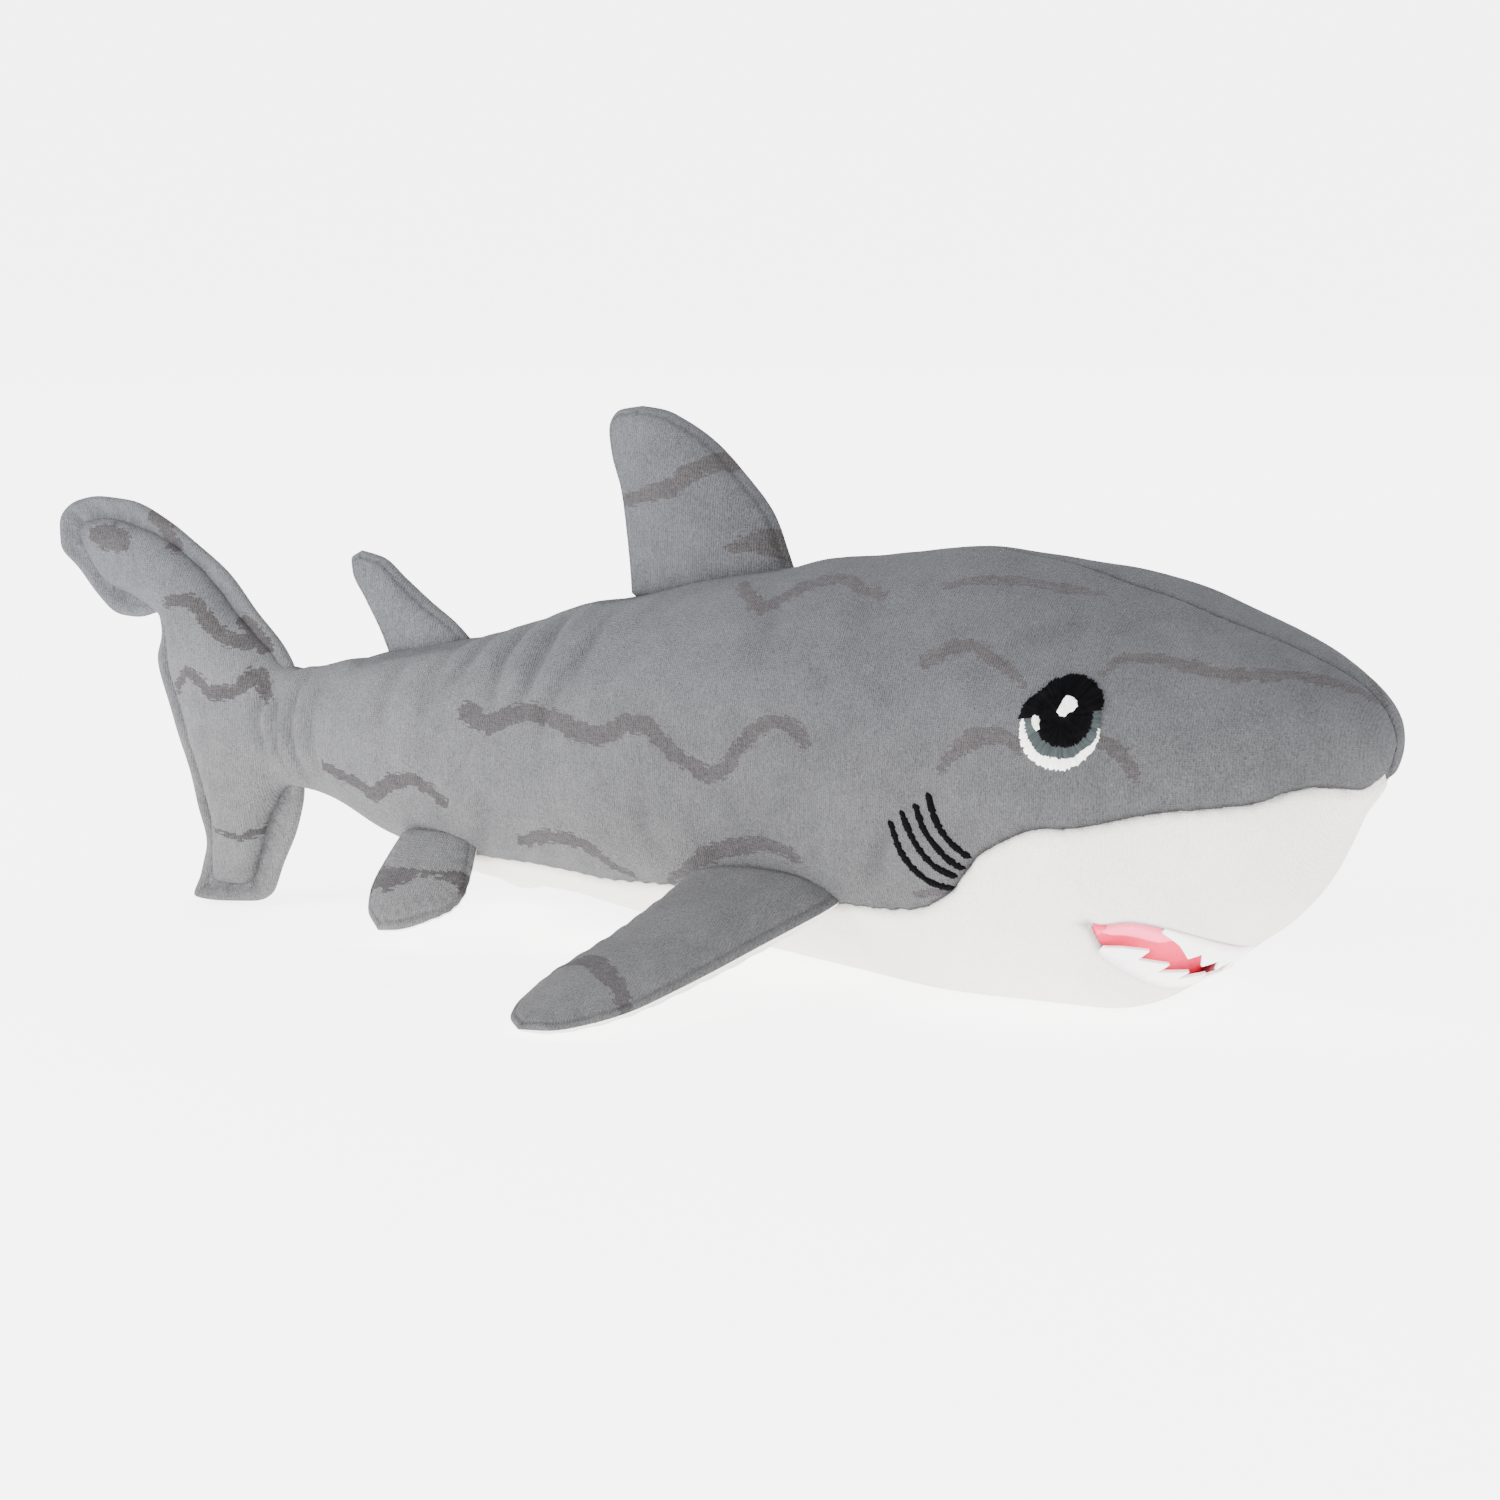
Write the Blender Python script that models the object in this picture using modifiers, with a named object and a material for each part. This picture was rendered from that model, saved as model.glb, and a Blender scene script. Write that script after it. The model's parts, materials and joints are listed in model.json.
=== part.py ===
"""Plush shark, 0.40 m long, lying on its flattened belly.

+X nose, +Y the shark's left, +Z up, metres. The origin is on the ground, under the middle of its length.
The body is two grey side panels and a white belly panel round one stuffing. Each fin is a pair of
panels round its own stuffing, with a rounded root centred on the seam that it flexes about. The tail
turns on an upright knuckle at the narrow end of the body.
"""
import math

import bmesh
import bpy
from mathutils import Matrix, Vector

MM = 0.001
SIDES = ((-1, "right"), (1, "left"))

# Overall sizes of the shark and its body. The tables below are drawn for these, in mm, and are stretched
# to whatever the three named sizes say.
LENGTH = 400 * MM
BODY_WIDTH = 105 * MM
BODY_HEIGHT = 112 * MM
DRAWN_LENGTH, DRAWN_WIDTH, DRAWN_HEIGHT = 400 * MM, 105 * MM, 112 * MM
STRETCH = Vector((LENGTH / DRAWN_LENGTH, BODY_WIDTH / DRAWN_WIDTH, BODY_HEIGHT / DRAWN_HEIGHT))

# Cloth and the clearances between neighbours
FABRIC = 1.2 * MM            # wall of the plush panels
LINING = 0.9 * MM            # wall of the mouth lining
FELT = 0.9 * MM              # wall of the teeth
GAP = 0.35 * MM              # air between two pieces that touch
SEAM_GAP = 0.45 * MM         # air between two panels along their seam
STUFFING_CLEARANCE = 1.6 * MM   # air between the body's stuffing and its cloth
FIN_CLEARANCE = 1.0 * MM     # air between a fin's stuffing and its cloth
LIP_CLEARANCE = 0.3 * MM     # more air between the mouth's lining and the lips

# Tail knuckle: the tail turns about an upright axis here
KNUCKLE_X = -122 * MM * STRETCH.x
KNUCKLE_RADIUS = 10 * MM
KNUCKLE_BOTTOM = 36 * MM * STRETCH.z
KNUCKLE_TOP = 67 * MM * STRETCH.z
SOCKET_CLEARANCE = 0.6 * MM
BODY_REAR_X = KNUCKLE_X + 0.5 * KNUCKLE_RADIUS

# Body form: x, top, bottom and half width of each station, in mm. Its rear end is as wide as the knuckle.
BODY_STATIONS = (
    (-118, 68.5, 33.0, KNUCKLE_RADIUS / MM / STRETCH.y),
    (-90, 77.0, 22.0, 17.5),
    (-60, 82.0, 15.0, 24.5),
    (-25, 93.5, 11.5, 32.5),
    (10, 102.5, 6.5, 40.0),
    (50, 108.5, 1.5, 46.5),
    (90, 112.0, -3.0, 51.5),
    (125, 108.0, -3.0, 52.5),
    (150, 101.0, 11.0, 45.5),
    (170, 93.5, 26.5, 35.5),
    (185, 85.5, 50.0, 21.5),
    (191, 81.0, 57.5, 15.0),
    (195, 76.5, 63.0, 8.5),
    (197, 70.5, 69.5, 0.6),
)
SECTION_POWER = 2.15         # 2 is an ellipse, more is squarer
GROUND = 0.0                 # the belly is flattened at this height

# Where the white belly panel meets the side panels: x in mm and angle round the section in degrees
BELLY_SEAM = (
    (-104, -90),
    (-84, -66),
    (-60, -50),
    (-20, -47),
    (10, -40),
    (64, -31),
    (84, -29),
    (95, -23),
    (106, -10),
    (125, -2),
    (150, 1),
    (172, 0),
    (184, -14),
    (191, -42),
    (194.5, -90),
)

# Stuffed part of the tail, upper tip to lower tip: front x, z, rear x, z and half thickness, in mm
TAIL_ROWS = (
    (-197, 103.5, -196.5, 98.0, 1.6),
    (-187, 105.5, -188, 88.5, 4.5),
    (-173, 102.0, -177, 84.5, 6.5),
    (-158, 93.0, -167, 77.0, 8.0),
    (-145, 81.0, -166, 66.0, 9.0),
    (-131, 68.0, -163, 56.0, 9.6),
    (-122, 52.0, -159, 44.0, 9.8),
    (-128, 37.0, -155, 32.0, 9.0),
    (-137, 22.0, -152, 21.0, 7.0),
    (-142, 13.0, -153, 12.0, 4.5),
    (-145, 7.5, -153, 7.5, 1.6),
)
# Flat unstuffed rim of the tail, x and z in mm
TAIL_RIM = (
    (-126, 67), (-130, 73), (-138, 82), (-148, 92.5), (-157, 99.5), (-168, 106), (-180, 111),
    (-190, 111.5), (-199, 109.5), (-203.5, 104), (-203.5, 97), (-198, 91), (-190, 83),
    (-184, 78.5), (-178, 78), (-171, 80), (-169.5, 74), (-171.5, 67), (-166, 50), (-159, 28),
    (-156, 17), (-158, 8), (-158, 1.5), (-150, 0.4), (-139, 0.8), (-134.5, 4), (-130.5, 13),
    (-126, 24), (-123.5, 34), (-125, 42),
)
TAIL_RIM_WALL = 1.2 * MM

# Fins. "root" is where the rear and front ends of the hinge line stand on the body form: x in mm and the
# angle round the section. "stand_off" is the air under each end of the rounded root, in mm, and "droop"
# is the fin's slope. A row is the front and the rear of the fin along the hinge line, its distance out
# from the hinge line, and the half thickness, in mm.
DORSAL = {
    "root": ((-20, 90), (26, 90)),
    "stand_off": (1.4, 1.4),
    "droop": 90,
    "rows": ((45.5, 0, 0, 8), (42, -1, 9, 8), (36.5, -1, 19, 7), (28.5, -0.5, 28, 5.5),
             (19, 0, 35, 4), (10, 2.5, 39.5, 1.5)),
}
REAR_DORSAL = {
    "root": ((-99, 90), (-75, 90)),
    "stand_off": (2.0, 1.1),
    "droop": 90,
    "rows": ((23.5, 0, 0, 5), (15.5, -2.5, 7, 4.6), (8, -5, 13, 3.4), (2, -5.5, 17.5, 1.4)),
}
PECTORAL = {
    "root": ((16, -35.9), (63, -31.0)),
    "stand_off": (1.8, 0.95),
    "droop": -18,
    "rows": ((46.5, 0, 0, 7.5), (40, -1, 14, 7.2), (33.5, -3, 29, 6.6), (28, -6, 44, 5.8),
             (20.5, -7.5, 57, 4.4), (9, -3, 67.5, 1.8)),
}
PELVIC = {
    "root": ((-83, -44.6), (-58, -43.2)),
    "stand_off": (2.9, 2.1),
    "droop": -45,
    "rows": ((24.5, 0, 0, 5), (25, -2, 8, 4.8), (19, -1.5, 17, 3.8), (11, 3, 25, 1.6)),
}

# Mouth: x, y, z of the upper lip and the lower lip from the middle to the corner, in mm
MOUTH_STATIONS = (
    (0.0, (158, 16.0), (142.5, 5.5)),
    (10.0, (157.6, 16.8), (142.2, 6.3)),
    (19.0, (156.5, 18.8), (141.3, 8.3)),
    (28.0, (153.5, 21.8), (139.8, 11.8)),
    (36.0, (148.5, 24.8), (137.6, 16.0)),
    (43.0, (140.5, 27.5), (135.5, 20.5)),
)
MOUTH_DEPTH = 15 * MM        # from the lips to the back of the pocket, at the middle
MOUTH_CORNER_DEPTH = 3 * MM  # the same at the corners
MOUTH_REACH = 9 * MM         # how far the pocket's room reaches out through the skin
FACING = Vector((0.66, 0, -0.75))    # the way that the mouth faces
TEETH_COUNT = 9              # points across each strip of teeth
TOOTH_HEIGHT = 5 * MM
TOOTH_ROOT = 4 * MM          # plain band below the points

# Eyes and gills, on the flank: x and z in mm
EYE_CENTRE = (124.8, 76.0)
EYE_RADIUS = (11.5, 13.0)
THREAD = 0.8 * MM            # height of the embroidery
GILL_RADIUS = 0.7 * MM       # half the width of a stitched gill line
GILLS = (
    ((81, 49), (84, 42), (88, 37), (92.5, 34.5), (96.5, 33.5)),
    ((85, 52), (87, 47), (89.5, 42.5), (93, 39), (98.5, 37)),
    ((89, 53.5), (91, 48), (94, 44), (97, 41), (100.5, 39)),
    ((92, 56), (93.2, 53), (95, 49.5), (97.8, 45.5), (102.5, 42)),
)

GREY = (0.29, 0.29, 0.31, 1)
WHITE = (0.86, 0.85, 0.82, 1)
BLACK = (0.01, 0.01, 0.012, 1)
PINK = (0.86, 0.24, 0.32, 1)
IRIS = (0.16, 0.21, 0.21, 1)
FIBRE = (0.9, 0.9, 0.9, 1)

for leftover in list(bpy.data.objects):
    bpy.data.objects.remove(leftover, do_unlink=True)

parts = bpy.data.collections.new("plush_shark")
cutters = bpy.data.collections.new("cutters")
for collection in (parts, cutters):
    bpy.context.scene.collection.children.link(collection)


def material(name, colour, roughness=0.9):
    finish = bpy.data.materials.new(name)
    finish.use_nodes = True
    shader = finish.node_tree.nodes["Principled BSDF"]
    shader.inputs["Base Color"].default_value = colour
    shader.inputs["Roughness"].default_value = roughness
    shader.inputs["Metallic"].default_value = 0.0
    return finish


def add(name, mesh_or_bm, finish, collection=parts):
    """Puts a mesh in the scene as one named object."""
    if isinstance(mesh_or_bm, bmesh.types.BMesh):
        mesh = bpy.data.meshes.new(name)
        mesh_or_bm.to_mesh(mesh)
        mesh_or_bm.free()
    else:
        mesh = mesh_or_bm
    obj = bpy.data.objects.new(name, mesh)
    collection.objects.link(obj)
    if finish:
        mesh.materials.append(finish)
        mesh.shade_smooth()
    else:
        obj.hide_render = True
        obj.display_type = "WIRE"
    return obj


def smooth_table(table, x):
    """Reads a table of rows (x, a, b, ...) at x, on a curve through its rows without overshoot."""
    keys = [row[0] for row in table]
    x = min(max(x, keys[0]), keys[-1])
    i = max(k for k in range(len(keys) - 1) if keys[k] <= x)
    step = keys[i + 1] - keys[i]
    t = (x - keys[i]) / step
    return [hermite(table, i, column, t, step) for column in range(1, len(table[0]))]


def slope(table, i, column):
    if i in (0, len(table) - 1):
        j = min(i, len(table) - 2)
        return (table[j + 1][column] - table[j][column]) / (table[j + 1][0] - table[j][0])
    before = (table[i][column] - table[i - 1][column]) / (table[i][0] - table[i - 1][0])
    after = (table[i + 1][column] - table[i][column]) / (table[i + 1][0] - table[i][0])
    return 2 * before * after / (before + after) if before * after > 0 else 0.0


def hermite(table, i, column, t, step):
    a, b = table[i][column], table[i + 1][column]
    ma, mb = slope(table, i, column) * step, slope(table, i + 1, column) * step
    return (a * (2 * t**3 - 3 * t**2 + 1) + ma * (t**3 - 2 * t**2 + t)
            + b * (3 * t**2 - 2 * t**3) + mb * (t**3 - t**2))


def signed_power(value, power):
    return math.copysign(abs(value) ** power, value)


def stretched(x, y, z):
    """A point of the tables, in metres and at the shark's own sizes."""
    return Vector((x, y, z)) * MM * STRETCH


def section(x):
    """Top, bottom and half width of the body at x, in metres."""
    top, bottom, half = smooth_table(BODY_STATIONS, x / MM / STRETCH.x)
    return top * MM * STRETCH.z, bottom * MM * STRETCH.z, half * MM * STRETCH.y


def body_point(x, angle, inset=0.0):
    """A point of the body form at x, angle degrees up from its left side, inset inwards."""
    top, bottom, half = section(x)
    middle, rise = (top + bottom) / 2, max((top - bottom) / 2 - inset, 0.2 * MM)
    half = max(half - inset, 0.2 * MM)
    c, s = math.cos(math.radians(angle)), math.sin(math.radians(angle))
    z = middle + rise * signed_power(s, 2 / SECTION_POWER)
    return Vector((x, half * signed_power(c, 2 / SECTION_POWER), max(z, GROUND + inset)))


def flank_point(x, z, side, lift):
    """A point on the flank at x and z, lifted off the skin; side is 1 on the left, -1 on the right."""
    top, bottom, half = section(x)
    middle, rise = (top + bottom) / 2, (top - bottom) / 2
    across = 1 - abs((z - middle) / rise) ** SECTION_POWER
    return Vector((x, side * (half * across ** (1 / SECTION_POWER) + lift), z))


def grid(point, across, along, weld=False):
    """A square grid of cloth laid on point(u, v), with u and v from 0 to 1."""
    bm = bmesh.new()
    bmesh.ops.create_grid(bm, x_segments=across, y_segments=along, size=0.5)
    for vert in bm.verts:
        vert.co = point(vert.co.x + 0.5, vert.co.y + 0.5)
    if weld:
        bmesh.ops.remove_doubles(bm, verts=bm.verts, dist=1e-6)
        bmesh.ops.dissolve_degenerate(bm, dist=1e-7, edges=bm.edges)
        open_edges = [edge for edge in bm.edges if edge.is_boundary]
        bmesh.ops.holes_fill(bm, edges=open_edges)
    bmesh.ops.recalc_face_normals(bm, faces=bm.faces)
    if weld and bm.calc_volume(signed=True) < 0:
        bmesh.ops.reverse_faces(bm, faces=bm.faces)
    return bm


def thicken(obj, wall, outward=False):
    """Gives an open sheet its wall, on the inner side unless outward."""
    solid = obj.modifiers.new("wall", "SOLIDIFY")
    solid.thickness = wall
    solid.offset = 1 if outward else -1
    solid.use_even_offset = False
    return solid


def cut(obj, cutter, operation="DIFFERENCE"):
    boolean = obj.modifiers.new(operation.lower(), "BOOLEAN")
    boolean.operation = operation
    boolean.object = cutter
    boolean.solver = "EXACT"


def other_half(name, side):
    """Everything beyond the middle seam, seen from one side."""
    size = 1.25 * LENGTH
    bm = bmesh.new()
    place = Matrix.Translation((0, side * (SEAM_GAP - size) / 2, 0))
    bmesh.ops.create_cube(bm, size=size, matrix=place)
    return add(name, bm, None, cutters)


# Body

NOSE_X = BODY_STATIONS[-1][0] * MM * STRETCH.x
CORE_FRONT_X = 150 * MM * STRETCH.x  # the body's middle line ends here, inside the head
SIDE_ROWS, BELLY_ROWS, BODY_COLUMNS, STUFFING_SIDES = 9, 11, 24, 20


def column_x(column):
    """Stations along the body, closer together towards the nose. Both kinds of panel share them."""
    end = NOSE_X - SEAM_GAP
    return BODY_REAR_X + (end - BODY_REAR_X) * (1 - (1 - column / BODY_COLUMNS) ** 1.7)


def seam_angle(x):
    return smooth_table(BELLY_SEAM, x / MM / STRETCH.x)[0]


def seam_setback(x):
    """Half the seam's gap as an angle round the section, more where the seam runs steeply."""
    top, bottom, half = section(x)
    radius = max((top - bottom) / 2, half, 4 * MM)
    climb = radius * math.radians(seam_angle(x + MM) - seam_angle(x - MM)) / (2 * MM)
    return math.degrees(SEAM_GAP / radius) * math.hypot(1, climb)


def body_side(name, side):
    def point(u, v):
        x = column_x(u * BODY_COLUMNS)
        back_off = seam_setback(x)
        low = min(seam_angle(x) + back_off, 80)
        high = 90 - math.degrees(SEAM_GAP / max(section(x)[2], 4 * MM))
        place = body_point(x, high + (low - high) * v)
        return Vector((x, place.y * side, place.z))

    bm = grid(point, BODY_COLUMNS, SIDE_ROWS)
    face_outwards(bm)
    obj = add(name, bm, material(name, GREY))
    thicken(obj, FABRIC)
    return obj


def face_outwards(bm):
    """Turns an open sheet of the body so that its faces look away from the body's middle line."""
    for face in bm.faces:
        middle = face.calc_center_median()
        top, bottom, _ = section(middle.x)
        core = Vector((min(middle.x, CORE_FRONT_X), 0, (top + bottom) / 2))
        if face.normal.dot(middle - core) < 0:
            face.normal_flip()


def belly_panel():
    seam = [row[0] * MM * STRETCH.x for row in BELLY_SEAM]
    inside = [column for column in range(BODY_COLUMNS + 1) if seam[0] < column_x(column) < seam[-1]]
    first, last = inside[0], inside[-1]

    def point(u, v):
        x = column_x(first + (last - first) * u)
        edge = max(seam_angle(x) - seam_setback(x), -86)
        return body_point(x, edge + (-180 - 2 * edge) * v)

    bm = grid(point, last - first, BELLY_ROWS)
    face_outwards(bm)
    obj = add("belly_panel", bm, material("belly_panel", WHITE))
    thicken(obj, FABRIC)
    return obj


def body_stuffing():
    """The body form, drawn in along its own normals by the cloth and a little air."""
    inset = FABRIC + STUFFING_CLEARANCE

    def point(u, v):
        return body_point(column_x(u * (BODY_COLUMNS - 2)), 360 * v)

    bm = grid(point, BODY_COLUMNS - 2, STUFFING_SIDES)
    bmesh.ops.remove_doubles(bm, verts=bm.verts, dist=1e-6)
    face_outwards(bm)
    bm.normal_update()
    for vert in bm.verts:
        vert.co -= vert.normal * inset
    bmesh.ops.holes_fill(bm, edges=[edge for edge in bm.edges if edge.is_boundary])
    bmesh.ops.recalc_face_normals(bm, faces=bm.faces)
    return add("body_stuffing", bm, material("body_stuffing", FIBRE))


# Mouth

MOUTH_STEPS, MOUTH_MARGIN = 16, 2     # stations across the mouth, and how many the lining stops short of


def mouth_station(v):
    """Upper lip, lower lip and pocket back at v, from the right corner (0) to the left one (1)."""
    across = (2 * v - 1) * MOUTH_STATIONS[-1][0]
    table = [(row[0], *row[1], *row[2]) for row in MOUTH_STATIONS]
    upper_x, upper_z, lower_x, lower_z = smooth_table(table, abs(across))
    upper = stretched(upper_x, across, upper_z)
    lower = stretched(lower_x, across, lower_z)
    share = math.sqrt(max(1 - (2 * v - 1) ** 2, 0))
    inwards = Vector((-0.75, -0.25 * (2 * v - 1), 0.66)).normalized()
    depth = MOUTH_CORNER_DEPTH + MOUTH_DEPTH * share
    back = (upper + lower) / 2 + inwards * depth
    return upper, lower, back


def mouth_cutter():
    """The pocket's room: a loft of four-cornered sections that reach out through the skin."""
    outwards = FACING * MOUTH_REACH

    def point(u, v):
        upper, lower, back = mouth_station(v)
        corners = (upper + outwards, lower + outwards, lower, back, upper)
        return corners[round(u * 5) % 5]

    bm = grid(point, 5, MOUTH_STEPS, weld=True)
    return add("mouth_room", bm, None, cutters)


def mouth_lining(name, use_upper):
    """A pink wall of the pocket, from a lip to the back, kept off the room's own walls."""
    steps = MOUTH_STEPS - 2 * MOUTH_MARGIN

    def point(u, v):
        upper, lower, back = mouth_station((MOUTH_MARGIN + steps * v) / MOUTH_STEPS)
        lip, other = (upper, lower) if use_upper else (lower, upper)
        wall = (back - lip).normalized()
        towards = (other - lip - wall * wall.dot(other - lip)).normalized()
        start = lip + wall * 1.5 * MM
        end = back + (lip - back) * 0.3
        return start + (end - start) * u + towards * (GAP + LINING / 2 + LIP_CLEARANCE)

    bm = grid(point, 3, steps)
    obj = add(name, bm, material(name, PINK))
    thicken(obj, LINING).offset = 0
    return obj


def teeth(name, use_upper):
    """A strip of felt with a toothed edge, standing in the mouth from one lip."""
    steps = 2 * TEETH_COUNT

    def point(u, v):
        station = 0.16 + 0.68 * v
        upper, lower, _ = mouth_station(station)
        lip, other = (upper, lower) if use_upper else (lower, upper)
        span = (other - lip).length
        across = (other - lip).normalized()
        start = lip + across * 0.8 * MM + FACING * (0.4 * MM if use_upper else 0.2 * MM)
        is_tip = round(v * steps) % 2 == 1
        reach = min(TOOTH_ROOT + (TOOTH_HEIGHT if is_tip else 0), 0.40 * span)
        lean = FACING * (2.0 * MM if use_upper else -0.5 * MM)
        return start + (across * reach + lean * reach / (TOOTH_ROOT + TOOTH_HEIGHT)) * u

    bm = grid(point, 1, steps)
    obj = add(name, bm, material(name, WHITE))
    thicken(obj, FELT).offset = 0
    return obj


# Eyes and gills

def eye_point(offset, reach, degrees, side, lift):
    """A point of the eye, reach times its radius from its centre, which is shifted by offset in mm."""
    angle = math.radians(degrees)
    centre = stretched(EYE_CENTRE[0], 0, EYE_CENTRE[1])
    x = centre.x + (offset[0] + reach * EYE_RADIUS[0] * math.cos(angle)) * MM
    z = centre.z + (offset[1] + reach * EYE_RADIUS[1] * math.sin(angle)) * MM
    return flank_point(x, z, side, lift)


def eye_patch(name, side, outline, offset, finish, lift):
    """A patch of satin stitch: a polar sheet on the flank inside outline(angle)."""
    def point(u, v):
        return eye_point(offset, outline(360 * v) * u, 360 * v, side, lift)

    return patch_object(name, side, point, 2, 16, finish)


def eye_band(name, side, inner, outer, start, end, finish):
    """A band of satin stitch round the eye between two radii and two angles."""
    def point(u, v):
        return eye_point((0, 0), inner + (outer - inner) * u, start + (end - start) * v, side, GAP)

    return patch_object(name, side, point, 1, 14, finish)


def patch_object(name, side, point, across, along, finish):
    bm = grid(point, across, along)
    bmesh.ops.remove_doubles(bm, verts=bm.verts, dist=1e-6)
    for face in bm.faces:
        if face.normal.y * side < 0:
            face.normal_flip()
    obj = add(name, bm, material(name, finish, 0.55))
    thicken(obj, THREAD, outward=True)
    return obj


def eye(side, word):
    def black_outline(degrees):
        return 1.0 if 8 <= degrees <= 172 else 0.56

    eye_patch(f"eye_black_{word}", side, black_outline, (1.0, 0), BLACK, GAP)
    eye_band(f"eye_iris_{word}", side, 0.66, 0.82, 196, 344, IRIS)
    eye_band(f"eye_white_{word}", side, 0.86, 1.0, 190, 350, WHITE)
    proud = 2 * GAP + THREAD
    eye_patch(f"eye_glint_{word}", side, lambda _: 0.2, (1.5, 3.5), WHITE, proud)


def gill(name, side, points):
    """One thick stitched line, lying on the skin."""
    curve = bpy.data.curves.new(name, "CURVE")
    curve.dimensions = "3D"
    curve.bevel_depth = GILL_RADIUS
    curve.bevel_resolution = 1
    curve.use_fill_caps = True
    spline = curve.splines.new("POLY")
    spline.points.add(len(points) - 1)
    for knot, (x, z) in zip(spline.points, points):
        place = stretched(x, 0, z)
        knot.co = (*flank_point(place.x, place.z, side, GILL_RADIUS + GAP + 0.15 * MM), 1)
    obj = bpy.data.objects.new(name, curve)
    parts.objects.link(obj)
    curve.materials.append(material(name, BLACK, 0.5))
    return obj


# Pillows: two panels round a stuffing

def fin_frame(fin, side):
    """The two ends of the fin's hinge line, then its axes: along that line, out and through its thickness."""
    tilt = math.radians(fin["droop"])
    slope_out = Vector((0, math.cos(tilt), math.sin(tilt)))
    ends = []
    for (x, angle), air in zip(fin["root"], fin["stand_off"]):
        end = body_point(x * MM * STRETCH.x, angle) + slope_out * (fin["rows"][0][3] + air) * MM
        ends.append(end * Vector((1, side, 1)))
    rear, front = ends
    along = (front - rear).normalized()
    outward = slope_out * Vector((1, side, 1))
    outward = (outward - along * outward.dot(along)).normalized()
    return rear, front, along, outward, along.cross(outward).normalized()


def fin_profile(u):
    """How full the fin is from its front edge (0) to its rear edge (1)."""
    return (1 - abs(2 * u - 1) ** 2.6) ** 0.6


FIN_COLUMNS, FIN_ROWS, ROOT_ROWS = 7, 5, 2
TIP_INSET, EDGE_INSET = 1.2, 1.6      # how much further a pillow inside another stops short at tip and edges


def fin_pillow(fin, side, inset):
    """A closed pillow on the fin's rows, shrunk by inset, with its root rounded about the hinge line."""
    rear, _, along, outward, through = fin_frame(fin, side)
    long_way = STRETCH.x
    out_way = (outward * STRETCH).length
    table = [(row[2] * out_way, row[0] * long_way, row[1] * long_way, row[3]) for row in fin["rows"]]
    full = table[-1][0]
    tip = full - TIP_INSET * inset / MM

    def point(u, v):
        turn = 2 * v if v <= 0.5 else 2 - 2 * v
        face = 1 if v <= 0.5 else -1
        row = (turn * (FIN_ROWS + ROOT_ROWS) - ROOT_ROWS) / FIN_ROWS
        distance = max(row, 0) * full if row < 1 else tip
        front, back, half = smooth_table(table, distance)
        front, back = front - EDGE_INSET * inset / MM, back + EDGE_INSET * inset / MM
        half = max(half * MM * fin_profile(u) - inset * (0.3 + 0.7 * fin_profile(u)), 0.0)
        place = rear + along * (front + (back - front) * u) * MM
        if row < 0:
            angle = math.radians(-90 * row * FIN_ROWS / ROOT_ROWS)
            return place - outward * half * math.sin(angle) + through * face * half * math.cos(angle)
        if row >= 1:
            half = 0.0
        return place + outward * distance * MM + through * face * half

    return grid(point, FIN_COLUMNS, 2 * (FIN_ROWS + ROOT_ROWS), weld=True)


def half_of(bm, origin, normal):
    """Keeps the part of a closed mesh that lies on the normal's side of a plane, and closes it."""
    geometry = list(bm.verts) + list(bm.edges) + list(bm.faces)
    result = bmesh.ops.bisect_plane(bm, geom=geometry, plane_co=origin, plane_no=normal,
                                    clear_inner=True, dist=1e-7)
    rim = [item for item in result["geom_cut"] if isinstance(item, bmesh.types.BMEdge)]
    bmesh.ops.holes_fill(bm, edges=rim)
    bmesh.ops.recalc_face_normals(bm, faces=bm.faces)
    return bm


def hinge(name, place, pieces):
    """An empty on a joint's axis that carries the pieces that move about it."""
    empty = bpy.data.objects.new(name, None)
    empty.location = place
    parts.objects.link(empty)
    for piece in pieces:
        piece.parent = empty
        piece.location = -place


def fin(name, shape, side, endings):
    """Two panels and a stuffing. endings name the panel that faces through the fin, then the other one."""
    rear, front, _, _, through = fin_frame(shape, side)
    room = add(f"{name}_room", fin_pillow(shape, side, FABRIC), None, cutters)
    pieces = []
    for ending, face in zip(endings, (1, -1)):
        normal = through * face
        bm = half_of(fin_pillow(shape, side, 0), rear + normal * SEAM_GAP / 2, normal)
        colour = WHITE if ending == "lower" else GREY
        panel = add(f"{name}_{ending}", bm, material(f"{name}_{ending}", colour))
        cut(panel, room)
        pieces.append(panel)
    bm = fin_pillow(shape, side, FABRIC + FIN_CLEARANCE)
    pieces.append(add(f"{name}_stuffing", bm, material(f"{name}_stuffing", FIBRE)))
    hinge(f"{name}_hinge", (rear + front) / 2, pieces)


# Tail

TAIL_COLUMNS, TAIL_LENGTHS = 6, 16


def tail_pillow(inset):
    """The stuffed part of the tail: a crescent from the upper tip to the lower tip."""
    last = len(TAIL_ROWS) - 1
    table = [(index, *row) for index, row in enumerate(TAIL_ROWS)]

    def point(u, v):
        turn = 2 * u if u <= 0.5 else 2 - 2 * u
        face = -1 if u <= 0.5 else 1
        margin = 1.2 * inset / MM / 10
        front_x, front_z, back_x, back_z, half = smooth_table(table, margin + (last - 2 * margin) * v)
        front, back = stretched(front_x, 0, front_z), stretched(back_x, 0, back_z)
        draw_in = (back - front).normalized() * EDGE_INSET * inset
        front, back = front + draw_in, back - draw_in
        half = max(half * MM * fin_profile(turn) - inset * (0.3 + 0.7 * fin_profile(turn)), 0.0)
        return front + (back - front) * turn + Vector((0, face * half, 0))

    return grid(point, 2 * TAIL_COLUMNS, TAIL_LENGTHS, weld=True)


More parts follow.
